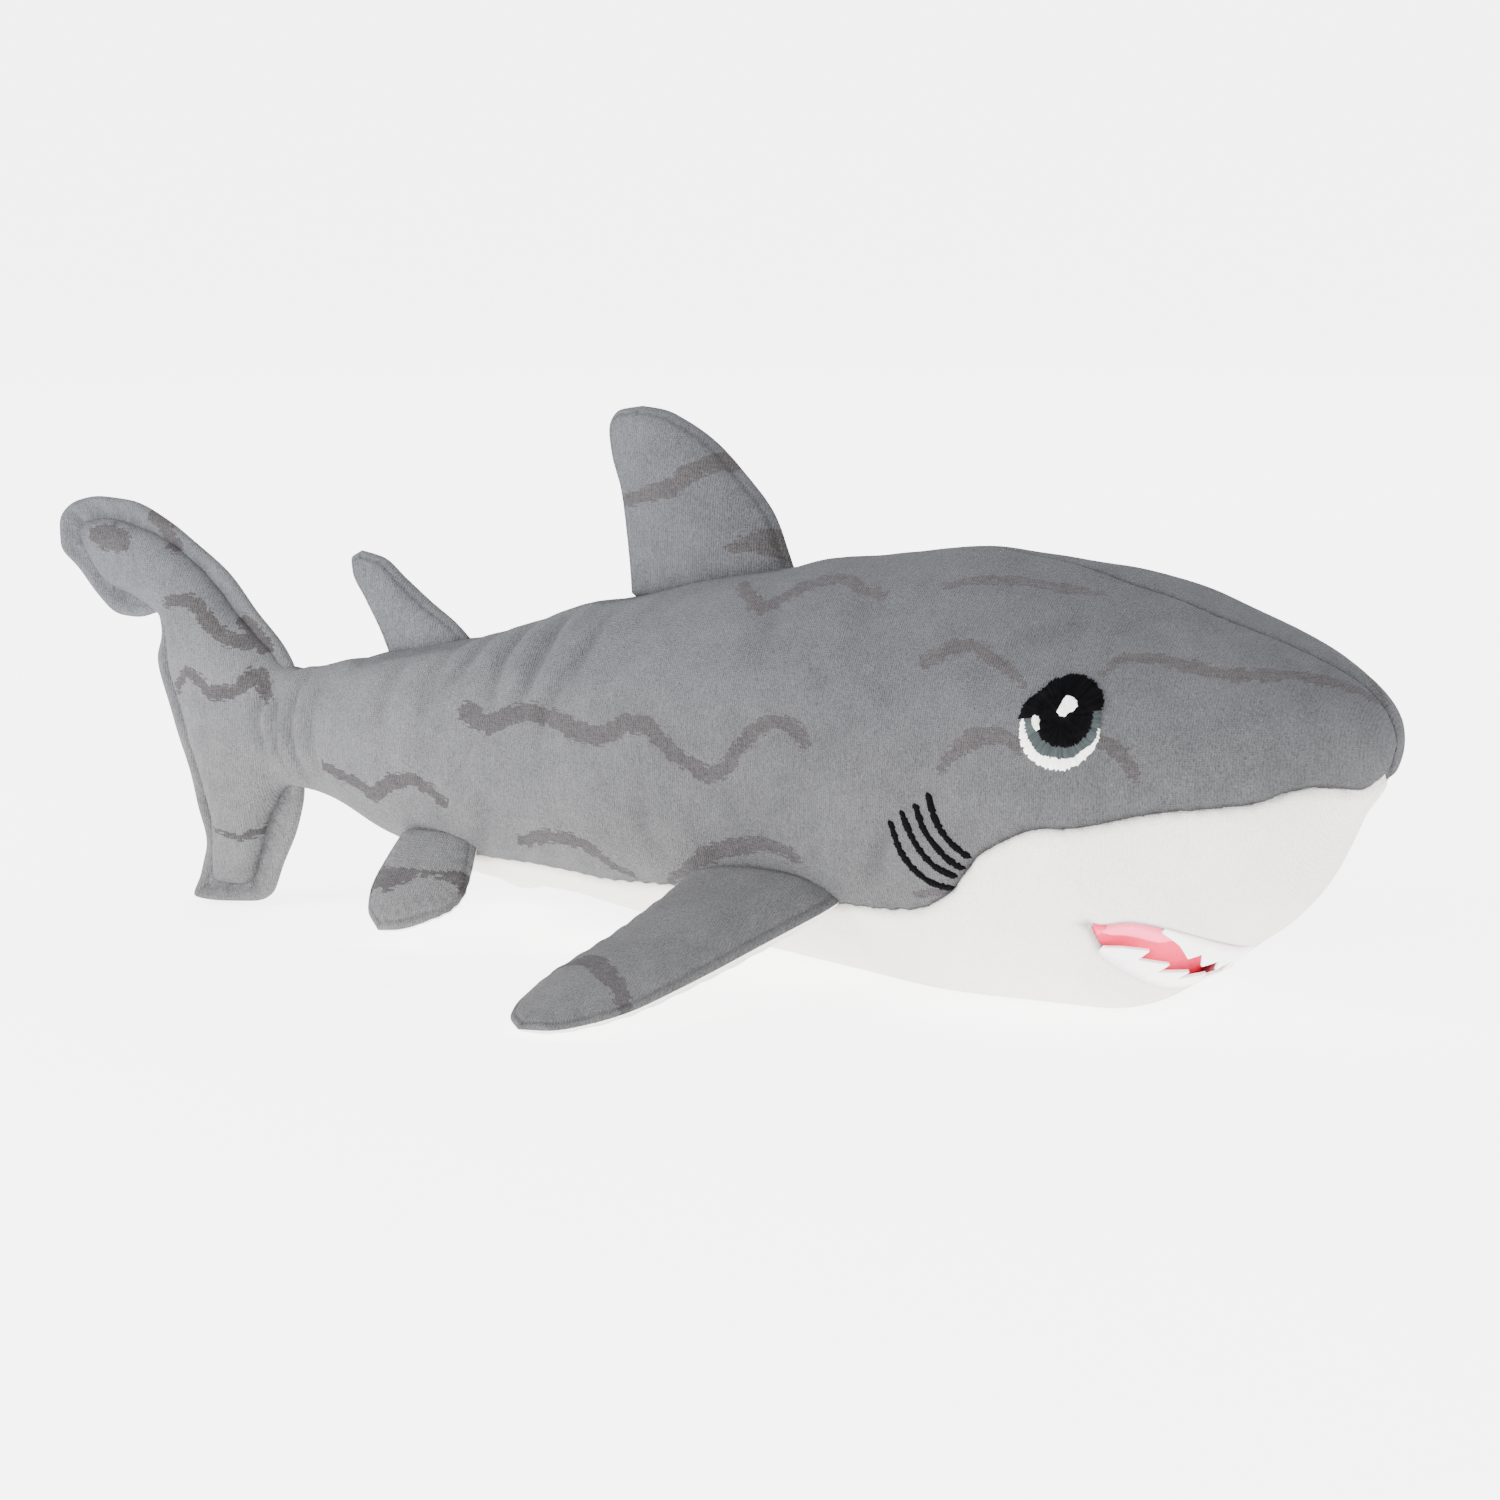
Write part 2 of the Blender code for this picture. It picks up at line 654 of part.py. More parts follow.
def knuckle(inset):
    """The upright round root of the tail."""
    bm = bmesh.new()
    height = KNUCKLE_TOP - KNUCKLE_BOTTOM - 2 * inset
    place = Matrix.Translation((KNUCKLE_X, 0, (KNUCKLE_TOP + KNUCKLE_BOTTOM) / 2))
    radius = KNUCKLE_RADIUS - inset
    bmesh.ops.create_cone(bm, cap_ends=True, segments=24, radius1=radius, radius2=radius,
                          depth=height, matrix=place)
    return bm


def tail_rim():
    """The flat rim of the tail, both layers thick, about the middle plane."""
    curve = bpy.data.curves.new("tail_rim", "CURVE")
    curve.dimensions = "2D"
    curve.fill_mode = "BOTH"
    curve.extrude = TAIL_RIM_WALL + SEAM_GAP / 2
    spline = curve.splines.new("POLY")
    spline.points.add(len(TAIL_RIM) - 1)
    spline.use_cyclic_u = True
    for knot, (x, z) in zip(spline.points, TAIL_RIM):
        place = stretched(x, 0, z)
        knot.co = (place.x, place.z, 0, 1)
    flat = bpy.data.objects.new("tail_rim", curve)
    bpy.context.scene.collection.objects.link(flat)
    graph = bpy.context.evaluated_depsgraph_get()
    mesh = bpy.data.meshes.new_from_object(flat.evaluated_get(graph))
    bpy.data.objects.remove(flat, do_unlink=True)
    bm = bmesh.new()
    bm.from_mesh(mesh)
    bmesh.ops.remove_doubles(bm, verts=bm.verts, dist=1e-6)
    bmesh.ops.transform(bm, matrix=Matrix.Rotation(math.radians(90), 4, "X"), verts=bm.verts)
    return add("tail_rim_plate", bm, None, cutters)


def tail(beyond):
    root = add("knuckle_form", knuckle(0), None, cutters)
    rim = tail_rim()
    room = add("tail_room", tail_pillow(FABRIC), None, cutters)
    knuckle_room = add("knuckle_room", knuckle(FABRIC), None, cutters)
    pieces = []
    for side, word in SIDES:
        panel = add(f"tail_side_{word}", tail_pillow(0), material(f"tail_side_{word}", GREY))
        cut(panel, root, "UNION")
        cut(panel, rim, "UNION")
        cut(panel, beyond[side])
        cut(panel, room)
        cut(panel, knuckle_room)
        pieces.append(panel)
    stuffing = add("tail_stuffing", tail_pillow(FABRIC + FIN_CLEARANCE), material("tail_stuffing", FIBRE))
    core = add("knuckle_stuffing", knuckle(FABRIC + FIN_CLEARANCE), None, cutters)
    cut(stuffing, core, "UNION")
    pieces.append(stuffing)
    hinge("tail_hinge", Vector((KNUCKLE_X, 0, (KNUCKLE_TOP + KNUCKLE_BOTTOM) / 2)), pieces)


def knuckle_socket():
    """The room that the tail's round root turns in."""
    bm = bmesh.new()
    radius = KNUCKLE_RADIUS + SOCKET_CLEARANCE
    place = Matrix.Translation((KNUCKLE_X, 0, (KNUCKLE_TOP + KNUCKLE_BOTTOM) / 2))
    bmesh.ops.create_cone(bm, cap_ends=True, segments=48, radius1=radius, radius2=radius,
                          depth=2 * (KNUCKLE_TOP + KNUCKLE_BOTTOM), matrix=place)
    return add("knuckle_socket", bm, None, cutters)


def centre_on_origin():
    """Hangs everything on one empty that puts the middle of the length over the origin."""
    front, rear = NOSE_X - SEAM_GAP, min(x for x, _ in TAIL_RIM) * MM * STRETCH.x
    root = bpy.data.objects.new("shark", None)
    root.location.x = -(front + rear) / 2
    for collection in (parts, cutters):
        for obj in collection.objects:
            if obj.parent is None:
                obj.parent = root
    parts.objects.link(root)


def build():
    socket = knuckle_socket()
    mouth_room = mouth_cutter()
    beyond = {side: other_half(f"beyond_{word}", side) for side, word in SIDES}
    for side, word in SIDES:
        skin = body_side(f"body_side_{word}", side)
        cut(skin, socket)
        cut(skin, beyond[side])
        eye(side, word)
        for number, points in enumerate(GILLS, 1):
            gill(f"gill_{word}_{number}", side, points)
        endings = ("upper", "lower") if side > 0 else ("lower", "upper")
        fin(f"pectoral_{word}", PECTORAL, side, endings)
        fin(f"pelvic_{word}", PELVIC, side, endings)
    cut(belly_panel(), mouth_room)
    stuffing = body_stuffing()
    cut(stuffing, socket)
    cut(stuffing, mouth_room)
    mouth_lining("mouth_lining_upper", True)
    mouth_lining("mouth_lining_lower", False)
    teeth("teeth_upper", True)
    teeth("teeth_lower", False)
    fin("dorsal_fin", DORSAL, 1, ("right", "left"))
    fin("rear_dorsal_fin", REAR_DORSAL, 1, ("right", "left"))
    tail(beyond)
    centre_on_origin()


build()
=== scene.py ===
"""Looks of a plush shark: plush cloth, embroidery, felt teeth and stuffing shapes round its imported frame.

Drawn sizes are in mm, with X along the body towards the nose, Y to the shark's left and Z up. The drawing's
X is counted from the middle of the body; to_frame() puts it in the frame, in metres.
"""
import json
import math

import bmesh
import bpy
import numpy as np
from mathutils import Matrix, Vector
from mathutils.bvhtree import BVHTree
from mathutils.kdtree import KDTree


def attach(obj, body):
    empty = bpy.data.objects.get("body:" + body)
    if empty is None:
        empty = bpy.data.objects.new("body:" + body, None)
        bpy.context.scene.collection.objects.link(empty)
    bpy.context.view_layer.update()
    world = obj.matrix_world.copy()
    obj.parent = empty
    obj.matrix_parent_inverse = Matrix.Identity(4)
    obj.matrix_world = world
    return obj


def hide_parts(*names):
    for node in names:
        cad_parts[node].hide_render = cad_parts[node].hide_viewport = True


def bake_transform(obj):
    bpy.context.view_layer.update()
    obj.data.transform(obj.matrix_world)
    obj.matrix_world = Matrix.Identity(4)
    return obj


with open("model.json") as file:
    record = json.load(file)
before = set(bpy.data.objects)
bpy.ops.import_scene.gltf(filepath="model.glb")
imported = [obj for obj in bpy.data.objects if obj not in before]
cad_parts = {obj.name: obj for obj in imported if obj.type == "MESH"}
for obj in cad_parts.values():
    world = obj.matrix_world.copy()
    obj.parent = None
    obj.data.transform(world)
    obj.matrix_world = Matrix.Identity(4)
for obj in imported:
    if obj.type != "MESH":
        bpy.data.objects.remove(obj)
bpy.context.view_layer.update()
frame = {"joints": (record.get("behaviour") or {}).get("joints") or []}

MM = 0.001
SIDES = ((-1, "right"), (1, "left"))
JOINTS = {joint["child"]: joint for joint in frame["joints"]}
TAIL_AXIS = Vector(JOINTS["tail"]["pos_m"])
DRAWN_TAIL_AXIS = -122.0
SHIFT = np.array([TAIL_AXIS.x - DRAWN_TAIL_AXIS * MM, 0.0, 0.0])


def to_frame(points):
    return np.asarray(points, float) * MM + SHIFT


def to_drawn(points):
    return (np.asarray(points, float) - SHIFT) / MM


# ---------------------------------------------------------------- camera, floor and light

AIM = Vector((0.0185, 0.0, 0.055))
VIEW_WIDTH, DISTANCE = 0.392, 1.30
AZIMUTH, ELEVATION = math.radians(28), math.radians(9)
SENSOR_WIDTH = 36
WORLD_LIGHT, TABLE_GLOW, TABLE_REACH = 2.2, 3.6, 80
# Softboxes: place and size in metres, and power in watts
SOFTBOXES = {
    "key_softbox": ((-1.10, -1.40, 0.55), (0.9, 0.8), 58),
    "fill_softbox": ((0.80, -1.60, 0.60), (1.2, 0.9), 20),
    "back_softbox": ((-0.3, 1.4, 1.1), (0.9, 0.9), 12),
}


def look(obj, target):
    obj.rotation_euler = (target - obj.location).to_track_quat("-Z", "Y").to_euler()


def studio_camera():
    data = bpy.data.cameras.new("camera")
    data.sensor_width = SENSOR_WIDTH
    data.lens = SENSOR_WIDTH * DISTANCE / VIEW_WIDTH
    camera = bpy.data.objects.new("camera", data)
    bpy.context.scene.collection.objects.link(camera)
    towards = Vector((math.sin(AZIMUTH) * math.cos(ELEVATION), -math.cos(AZIMUTH) * math.cos(ELEVATION),
                      math.sin(ELEVATION)))
    camera.location = AIM + towards * DISTANCE
    look(camera, AIM)
    bpy.context.scene.camera = camera


def softbox(name, place, size, power):
    data = bpy.data.lights.new(name, "AREA")
    data.shape = "RECTANGLE"
    data.size, data.size_y = size
    data.energy = power
    light = bpy.data.objects.new(name, data)
    bpy.context.scene.collection.objects.link(light)
    light.location = place
    look(light, AIM)


def studio():
    studio_camera()
    bm = bmesh.new()
    bmesh.ops.create_grid(bm, x_segments=1, y_segments=1, size=TABLE_REACH)
    mesh_object("light_table", bm, glowing_table())
    world = bpy.data.worlds.new("studio")
    world.use_nodes = True
    sky = world.node_tree.nodes["Background"]
    sky.inputs["Color"].default_value = (1, 1, 1, 1)
    sky.inputs["Strength"].default_value = WORLD_LIGHT
    bpy.context.scene.world = world
    for name, (place, size, power) in SOFTBOXES.items():
        softbox(name, place, size, power)


# ---------------------------------------------------------------- mesh helpers

def curve_through(rows):
    """A function that reads rows (key, a, b, ...) at an array of keys, on a curve without overshoot."""
    rows = np.array(rows, float)
    keys, values = rows[:, 0], rows[:, 1:]
    step = np.diff(keys)[:, None]
    rise = np.diff(values, axis=0) / step
    slopes = np.empty_like(values)
    slopes[0], slopes[-1] = rise[0], rise[-1]
    same_way = rise[:-1] * rise[1:] > 0
    total = np.where(same_way, rise[:-1] + rise[1:], 1)
    slopes[1:-1] = np.where(same_way, 2 * rise[:-1] * rise[1:] / total, 0)

    def read(key):
        key = np.clip(np.asarray(key, float), keys[0], keys[-1])
        i = np.clip(np.searchsorted(keys, key, side="right") - 1, 0, len(keys) - 2)
        h = step[i]
        t = (key - keys[i])[..., None] / h
        return (values[i] * (2 * t**3 - 3 * t**2 + 1) + slopes[i] * h * (t**3 - 2 * t**2 + t)
                + values[i + 1] * (3 * t**2 - 2 * t**3) + slopes[i + 1] * h * (t**3 - t**2))

    return read


def line_through(points):
    """A function from 0..1 to points on a smooth line through the given ones, by its length."""
    points = np.array(points, float)
    reach = np.concatenate([[0], np.cumsum(np.linalg.norm(np.diff(points, axis=0), axis=1))])
    return curve_through(np.column_stack([reach / reach[-1], points]))


def grid(point, across, along):
    """A sheet of squares laid on point(u, v), with arrays u and v from 0 to 1."""
    bm = bmesh.new()
    bmesh.ops.create_grid(bm, x_segments=across, y_segments=along, size=0.5)
    flat = np.array([vert.co[:2] for vert in bm.verts]) + 0.5
    for vert, co in zip(bm.verts, point(flat[:, 0], flat[:, 1])):
        vert.co = co
    return bm


def weld(bm, distance=1e-4):
    """Joins the corners that lie on each other."""
    bmesh.ops.remove_doubles(bm, verts=bm.verts, dist=distance)
    bmesh.ops.dissolve_degenerate(bm, dist=distance / 10, edges=bm.edges)
    return bm


def close(bm):
    """Makes a closed form of a rolled sheet or of two panels."""
    weld(bm)
    bmesh.ops.holes_fill(bm, edges=[edge for edge in bm.edges if edge.is_boundary])
    return outwards(bm)


def outwards(bm):
    bmesh.ops.recalc_face_normals(bm, faces=bm.faces)
    if bm.calc_volume(signed=True) < 0:
        bmesh.ops.reverse_faces(bm, faces=bm.faces)
    return bm


def face_along(bm, way):
    """Turns an open sheet so that it faces along way."""
    for face in bm.faces:
        face.normal_update()
    if sum(face.normal.dot(way) for face in bm.faces) < 0:
        bmesh.ops.reverse_faces(bm, faces=bm.faces)
    return bm


def mesh_object(name, bm, *materials):
    mesh = bpy.data.meshes.new(name)
    bm.to_mesh(mesh)
    bm.free()
    obj = bpy.data.objects.new(name, mesh)
    bpy.context.scene.collection.objects.link(obj)
    for finish in materials:
        mesh.materials.append(finish)
    mesh.shade_smooth()
    return obj


def add_modifier(obj, kind, **settings):
    modifier = obj.modifiers.new(kind.lower(), kind)
    for key, value in settings.items():
        setattr(modifier, key, value)


def apply_modifiers(obj):
    graph = bpy.context.evaluated_depsgraph_get()
    graph.update()
    mesh = bpy.data.meshes.new_from_object(obj.evaluated_get(graph))
    obj.modifiers.clear()
    old, obj.data = obj.data, mesh
    bpy.data.meshes.remove(old)


def give_wall(obj, wall, offset=-1):
    """Thickens a sheet of cloth to its wall in mm: inwards, or with offset 0 both ways."""
    add_modifier(obj, "SOLIDIFY", thickness=wall * MM, offset=offset, use_even_offset=False)


def points_of(bm):
    return np.array([vert.co[:] for vert in bm.verts])


def mesh_points(mesh):
    co = np.empty(len(mesh.vertices) * 3)
    mesh.vertices.foreach_get("co", co)
    return co.reshape(-1, 3)


def move_points(mesh, points):
    mesh.vertices.foreach_set("co", points.ravel())
    mesh.update()


def nearest_on_line(points, line):
    """Distance of each point from a line, and how far along it, 0 to 1, the nearest place is."""
    line = np.asarray(line, float)
    best = np.full(len(points), 1e9)
    where = np.zeros(len(points))
    for i, (a, b) in enumerate(zip(line[:-1], line[1:])):
        run = b - a
        t = np.clip((points - a) @ run / max(run @ run, 1e-9), 0, 1)
        gap = np.linalg.norm(points - a - t[:, None] * run, axis=1)
        closer = gap < best
        best[closer] = gap[closer]
        where[closer] = ((i + t) / (len(line) - 1))[closer]
    return best, where


def bump(distance, width):
    """A soft hump: 1 at no distance, and next to nothing past twice the width."""
    return np.exp(-(distance / width) ** 2)


def nearest_index(points, wanted):
    """Which of the points lies nearest to each wanted one."""
    tree = KDTree(len(points))
    for index, point in enumerate(points):
        tree.insert(point, index)
    tree.balance()
    return np.array([tree.find(point)[1] for point in wanted])


def ramp(value, low, high):
    """A soft step from 0 at low to 1 at high."""
    t = np.clip((value - low) / (high - low), 0, 1)
    return t * t * (3 - 2 * t)


# ---------------------------------------------------------------- materials

class Nodes:
    """Short names for the few nodes that the finishes are made of."""

    def __init__(self, name):
        self.material = bpy.data.materials.new(name)
        self.material.use_nodes = True
        self.tree = self.material.node_tree
        self.shader = self.tree.nodes["Principled BSDF"]

    def feed(self, socket, value):
        if isinstance(value, bpy.types.NodeSocket):
            self.tree.links.new(value, socket)
        else:
            socket.default_value = value

    def node(self, kind, inputs, output=0, **settings):
        """Adds a node, sets or links its inputs, and gives one of its outputs."""
        made = self.tree.nodes.new("ShaderNode" + kind)
        for key, value in settings.items():
            setattr(made, key, value)
        for key, value in inputs.items():
            self.feed(made.inputs[key], value)
        return made.outputs[output]

    def math(self, operation, a, b=0.0):
        return self.node("Math", {0: a, 1: b}, operation=operation)

    def add(self, a, b):
        return self.math("ADD", a, b)

    def times(self, a, b):
        return self.math("MULTIPLY", a, b)

    def vector(self, operation, a, b):
        return self.node("VectorMath", {0: a, 1: b}, operation=operation)

    def noise(self, place, scale, detail=2.0, roughness=0.5, stretch=None):
        """A noise of 0 to 1, finer along an axis that stretch makes longer."""
        if stretch:
            place = self.vector("MULTIPLY", place, stretch)
        settings = {"Vector": place, "Scale": scale, "Detail": detail, "Roughness": roughness}
        return self.node("TexNoise", settings, "Fac")

    def about(self, value, amount):
        """A noise of 0 to 1 as a swing either way of nothing."""
        return self.times(self.math("SUBTRACT", value, 0.5), amount)

    def dimmed(self, tone, amount):
        """A tone made darker by painted shade in the creases."""
        return self.times(tone, self.math("SUBTRACT", 1.0, self.times(self.attribute("painted_shade"), amount)))

    def mix(self, factor, a, b):
        return self.node("Mix", {"Factor": factor, "A": a, "B": b}, "Result", data_type="RGBA")

    def shade(self, colour, factor):
        """A colour made darker or lighter by a factor."""
        colour = colour[:3] if isinstance(colour, tuple) else colour
        return self.node("VectorMath", {0: colour, "Scale": factor}, operation="SCALE")

    def between(self, value, low, high):
        """A soft step from 0 at low to 1 at high."""
        limits = {"Value": value, "From Min": low, "From Max": high}
        return self.node("MapRange", limits, "Result", interpolation_type="SMOOTHSTEP")

    def attribute(self, name, output="Fac"):
        return self.node("Attribute", {}, output, attribute_name=name)

    def colour(self, colour, tone):
        self.feed(self.shader.inputs["Base Color"], self.shade(colour, tone))

    def relief(self, height, strength, distance):
        inputs = {"Height": height, "Strength": strength, "Distance": distance}
        self.feed(self.shader.inputs["Normal"], self.node("Bump", inputs, "Normal"))

    def finish(self, roughness, sheen=0.0, tint=(1, 1, 1, 1), gloss=0.05):
        for socket, value in (("Roughness", roughness), ("Sheen Weight", sheen), ("Sheen Roughness", 0.45),
                              ("Sheen Tint", tint), ("Specular IOR Level", gloss)):
            self.shader.inputs[socket].default_value = value
        return self.material


def glowing_table():
    """White table lit from below, so that the toy throws almost no shadow."""
    nodes = Nodes("light_table")
    nodes.shader.inputs["Base Color"].default_value = (0.9, 0.9, 0.9, 1)
    nodes.shader.inputs["Emission Color"].default_value = (1, 1, 1, 1)
    nodes.shader.inputs["Emission Strength"].default_value = TABLE_GLOW
    return nodes.finish(1.0, gloss=0.0)


RIB_PITCH, COURSE_PITCH = 0.62, 0.55     # the knit's upright ribs and level courses, in mm
GRAIN = (1.7, 3, 0.75)                   # scale, detail and roughness of the pile's fuzz
RIB_TONE, RIB_HEIGHT, COURSE_HEIGHT, GRAIN_HEIGHT, FIBRE_HEIGHT = 0.05, 0.12, 0.06, 1.1, 0.5
PAINTED_LIGHT_REAR, PAINTED_LIGHT_FROM, PAINTED_LIGHT_TO = 0.42, 90.0, -150.0     # painted light: the cloth is made paler towards the tail
LOW, HIGH = 30.0, 108.0                                   # heights where the low and high colours are pure
STRIPE_STITCH = (2.0, 400.0, 0.6)                         # size of the steps along a stripe's edge
STRIPE_RAG, STRIPE_EDGE, STRIPE_COVER = 1.35, 0.08, 0.96


def lighter(colour, factor):
    return tuple(min(channel * factor, 1.0) for channel in colour[:3]) + (1.0,)


def plush(name, low, high, stripe=None, sheen=0.15, contrast=1.0, painted_shade=0.5):
    """Short-pile knit: upright ribs, fuzzy grain, brushed patches and, on grey, darker wavy stripes; with
    painted shade in the seams and folds and, on grey, on the top, and painted light towards the tail.
    """
    nodes = Nodes(name)
    place = nodes.attribute("place", "Vector")
    x, z = (nodes.node("SeparateXYZ", {0: place}, axis) for axis in "XZ")
    drift = nodes.noise(place, 0.25, 2)
    phase = nodes.add(nodes.math("DIVIDE", x, RIB_PITCH), nodes.times(drift, 1.2))
    rib = nodes.math("SINE", nodes.times(phase, math.tau))
    course = nodes.math("SINE", nodes.times(z, math.tau / COURSE_PITCH))
    grain = nodes.noise(place, *GRAIN)
    fibres = nodes.noise(place, 1.0, 2, 0.7, (3.2, 3.2, 0.9))
    brushed_up = nodes.noise(place, 1.0, 2, 0.6, (1.5, 1.5, 0.22))
    lay = nodes.noise(place, 0.055, 3, 0.6)
    patches = nodes.noise(place, 0.17, 2, 0.55)
    tone = nodes.add(1.0, nodes.about(grain, 1.25 * contrast))
    tone = nodes.add(tone, nodes.times(rib, RIB_TONE * contrast))
    for noise, swing in ((fibres, 0.9), (lay, 0.42), (patches, 0.34), (brushed_up, 0.38)):
        tone = nodes.add(tone, nodes.about(noise, swing * contrast))
    # Painted shade: darker in the seams, folds and grooves.
    tone = nodes.dimmed(tone, painted_shade)
    # Towards the top the low colour gives way to the high one; on grey the top is darker and bluer: painted
    # shade.
    colour = nodes.mix(nodes.between(z, LOW, HIGH), low, high)
    # Painted light: the cloth is made paler towards the tail.
    painted_light = nodes.times(nodes.between(x, PAINTED_LIGHT_FROM, PAINTED_LIGHT_TO), PAINTED_LIGHT_REAR * contrast)
    colour = nodes.shade(colour, nodes.add(painted_light, 1.0 - 0.08 * contrast))
    if stripe:
        cells = nodes.vector("SNAP", place, STRIPE_STITCH)
        scatter = nodes.node("TexWhiteNoise", {"Vector": cells}, "Value", noise_dimensions="3D")
        inside = nodes.add(nodes.attribute("stripe"), nodes.about(scatter, STRIPE_RAG))
        mask = nodes.between(inside, -STRIPE_EDGE, STRIPE_EDGE)
        threads = nodes.noise(place, 1.0, 2, 0.6, (0.35, 0.35, 2.4))
        dark = nodes.mix(nodes.between(threads, 0.35, 0.65), stripe, lighter(stripe, 1.22))
        colour = nodes.mix(nodes.times(mask, STRIPE_COVER), colour, dark)
    nodes.colour(colour, tone)
    height = nodes.add(nodes.times(rib, RIB_HEIGHT), nodes.times(course, COURSE_HEIGHT))
    height = nodes.add(height, nodes.times(grain, GRAIN_HEIGHT))
    height = nodes.add(height, nodes.times(fibres, FIBRE_HEIGHT))
    nodes.relief(height, 0.9, 0.0007)
    return nodes.finish(0.95, sheen, lighter(high, 5.0))


def thread(name, colour, gloss=0.05, unevenness_and_shade=0.3):
    """Embroidery thread: lustrous, with a fine twist."""
    nodes = Nodes(name)
    place = nodes.attribute("place", "Vector")
    grain = nodes.noise(place, 3.5, 2, 0.6)
    tone = nodes.add(nodes.times(grain, 0.3), 0.85)
    # Each thread has its own tone; its raised half is lighter and its sunk half darker: painted light and
    # shade.
    nodes.colour(colour, nodes.add(tone, nodes.times(nodes.attribute("strand_tone_and_shade"), unevenness_and_shade)))
    nodes.relief(grain, 0.5, 0.0002)
    return nodes.finish(0.5, gloss=gloss)


def pink_lining(name, painted_lit_pink, deep):
    """The mouth's cloth, with painted light on the band that is folded out along the lip, which is made
    paler, and painted shade in its tuck.
    """
    nodes = Nodes(name)
    place = nodes.attribute("place", "Vector")
    grain = nodes.noise(place, *GRAIN)
    tone = nodes.dimmed(nodes.add(1.0, nodes.about(grain, 0.4)), 0.4)
    # Painted light: the folded-out band is paler pink.
    nodes.colour(nodes.mix(nodes.attribute("band"), deep, painted_lit_pink), tone)
    nodes.relief(grain, 0.7, 0.0004)
    return nodes.finish(0.95)


FELT_SHADOW = (0.62, 0.50, 0.55, 1)


def felt(name, colour):
    """Fuzzy felt, shaded where it is sewn in."""
    nodes = Nodes(name)
    place = nodes.attribute("place", "Vector")
    fuzz = nodes.noise(place, 2.2, 4, 0.75)
    shaded = nodes.mix(nodes.attribute("painted_shade"), colour, FELT_SHADOW)
    nodes.colour(shaded, nodes.add(nodes.times(fuzz, 0.12), 0.93))
    nodes.relief(fuzz, 0.5, 0.0003)
    return nodes.finish(0.95)


# The grey's high colour is darker and bluer: painted shade on the top of the body.
GREY_PLUSH = plush("grey_plush", (0.083, 0.083, 0.085, 1), (0.067, 0.068, 0.0735, 1),
                   stripe=(0.045, 0.0415, 0.043, 1))
WHITE = (0.83, 0.81, 0.76, 1)
WHITE_PLUSH = plush("white_plush", WHITE, WHITE, sheen=0.0, contrast=0.2, painted_shade=0.55)
PINK_PLUSH = pink_lining("pink_lining", (0.95, 0.150, 0.26, 1), (0.93, 0.062, 0.155, 1))
BLACK_THREAD = thread("black_thread", (0.0022, 0.0022, 0.0026, 1), 0.012, 0.8)
SLATE_THREAD = thread("slate_thread", (0.034, 0.0415, 0.043, 1), 0.05, 0.45)
WHITE_THREAD = thread("white_thread", (0.80, 0.80, 0.78, 1), 0.05, 0.25)
WHITE_FELT = felt("white_felt", (0.92, 0.90, 0.885, 1))


# ---------------------------------------------------------------- body form

SECTION_POWER = 2.15     # 2 is an ellipse, more is squarer
# The body without its tail fin: x, its top, its bottom and half its width
body_curve = curve_through((
    (-160, 60, 42, 5.0),
    (-145, 63, 38, 8.0),
    (-132, 66.5, 34.5, 9.5),
    (-118, 68.5, 33.0, 10.5),
    (-90, 77.0, 22.0, 17.5),
    (-60, 82.0, 15.0, 24.5),
    (-25, 93.5, 11.5, 32.5),
    (10, 102.5, 6.5, 40.0),
    (50, 108.5, 1.5, 46.5),
    (90, 112.0, -2.4, 51.5),
    (125, 108.0, -2.4, 52.5),
    (150, 101.0, 11.0, 45.5),
    (170, 93.5, 26.5, 35.5),
    (184, 85.5, 50.0, 21.0),
    (189.5, 81.0, 56.5, 15.0),
    (193, 76.5, 62.0, 9.0),
    (195, 70.0, 69.0, 0.6),
))
REAR_END, NOSE = -160.0, 195.0
BELLY_END, BACK_END = -104, -100     # the belly panel and the leaning top seam end here

# Where the white belly panel meets the grey sides: x and the angle round the section
belly_seam = curve_through((
    (-125, -150), (-104, -90), (-84, -66), (-60, -50), (-20, -47), (10, -40), (64, -31), (84, -29),
    (95, -23), (106, -10), (125, -1.5), (150, -0.5), (163, -1.5), (172, -4), (177, -7), (181, -14),
    (184.5, -25), (189, -50), (192.5, -85), (195, -120), (197, -150),
))
# The top seam leans to the right on the head: x and y
top_seam = curve_through((
    (-160, 0), (70, 0), (105, -3), (130, -9.5), (152, -10), (172, -5), (188, 0), (197, 0),
))

# Stuffed part of the tail, upper tip to lower tip: front x, z, rear x, z and half thickness
TAIL_ROWS = (
    (-197, 103.5, -196.5, 98.0, 1.6),
    (-187, 105.5, -188, 88.5, 4.5),
    (-173, 102.0, -177, 84.5, 6.5),
    (-158, 93.0, -167, 77.0, 8.0),
    (-145, 81.0, -166, 66.0, 9.0),
    (-131, 68.0, -163, 56.0, 9.6),
    (-122, 52.0, -159, 44.0, 9.8),
    (-128, 37.0, -155, 32.0, 9.0),
    (-136, 22.0, -152, 21.0, 7.0),
    (-139, 13.0, -153, 12.0, 5.6),
    (-141, 6.0, -153.5, 5.0, 4.0),
)
# Flat unstuffed rim of the tail, x and z
TAIL_RIM = (
    (-126, 67), (-130, 73), (-138, 82), (-148, 92.5), (-157, 99.5), (-168, 106), (-180, 111),
    (-190, 111.5), (-199, 109.5), (-203.5, 104), (-203.5, 97), (-198, 91), (-190, 83),
    (-184, 78.5), (-178, 78), (-171, 80), (-169.5, 74), (-171.5, 67), (-166, 50), (-159, 28),
    (-156, 17), (-158, 8), (-158, 1.8), (-150, 0.8), (-139, 1.2), (-134.5, 4), (-130.5, 13),
    (-126, 24), (-123.5, 34), (-125, 42),
)

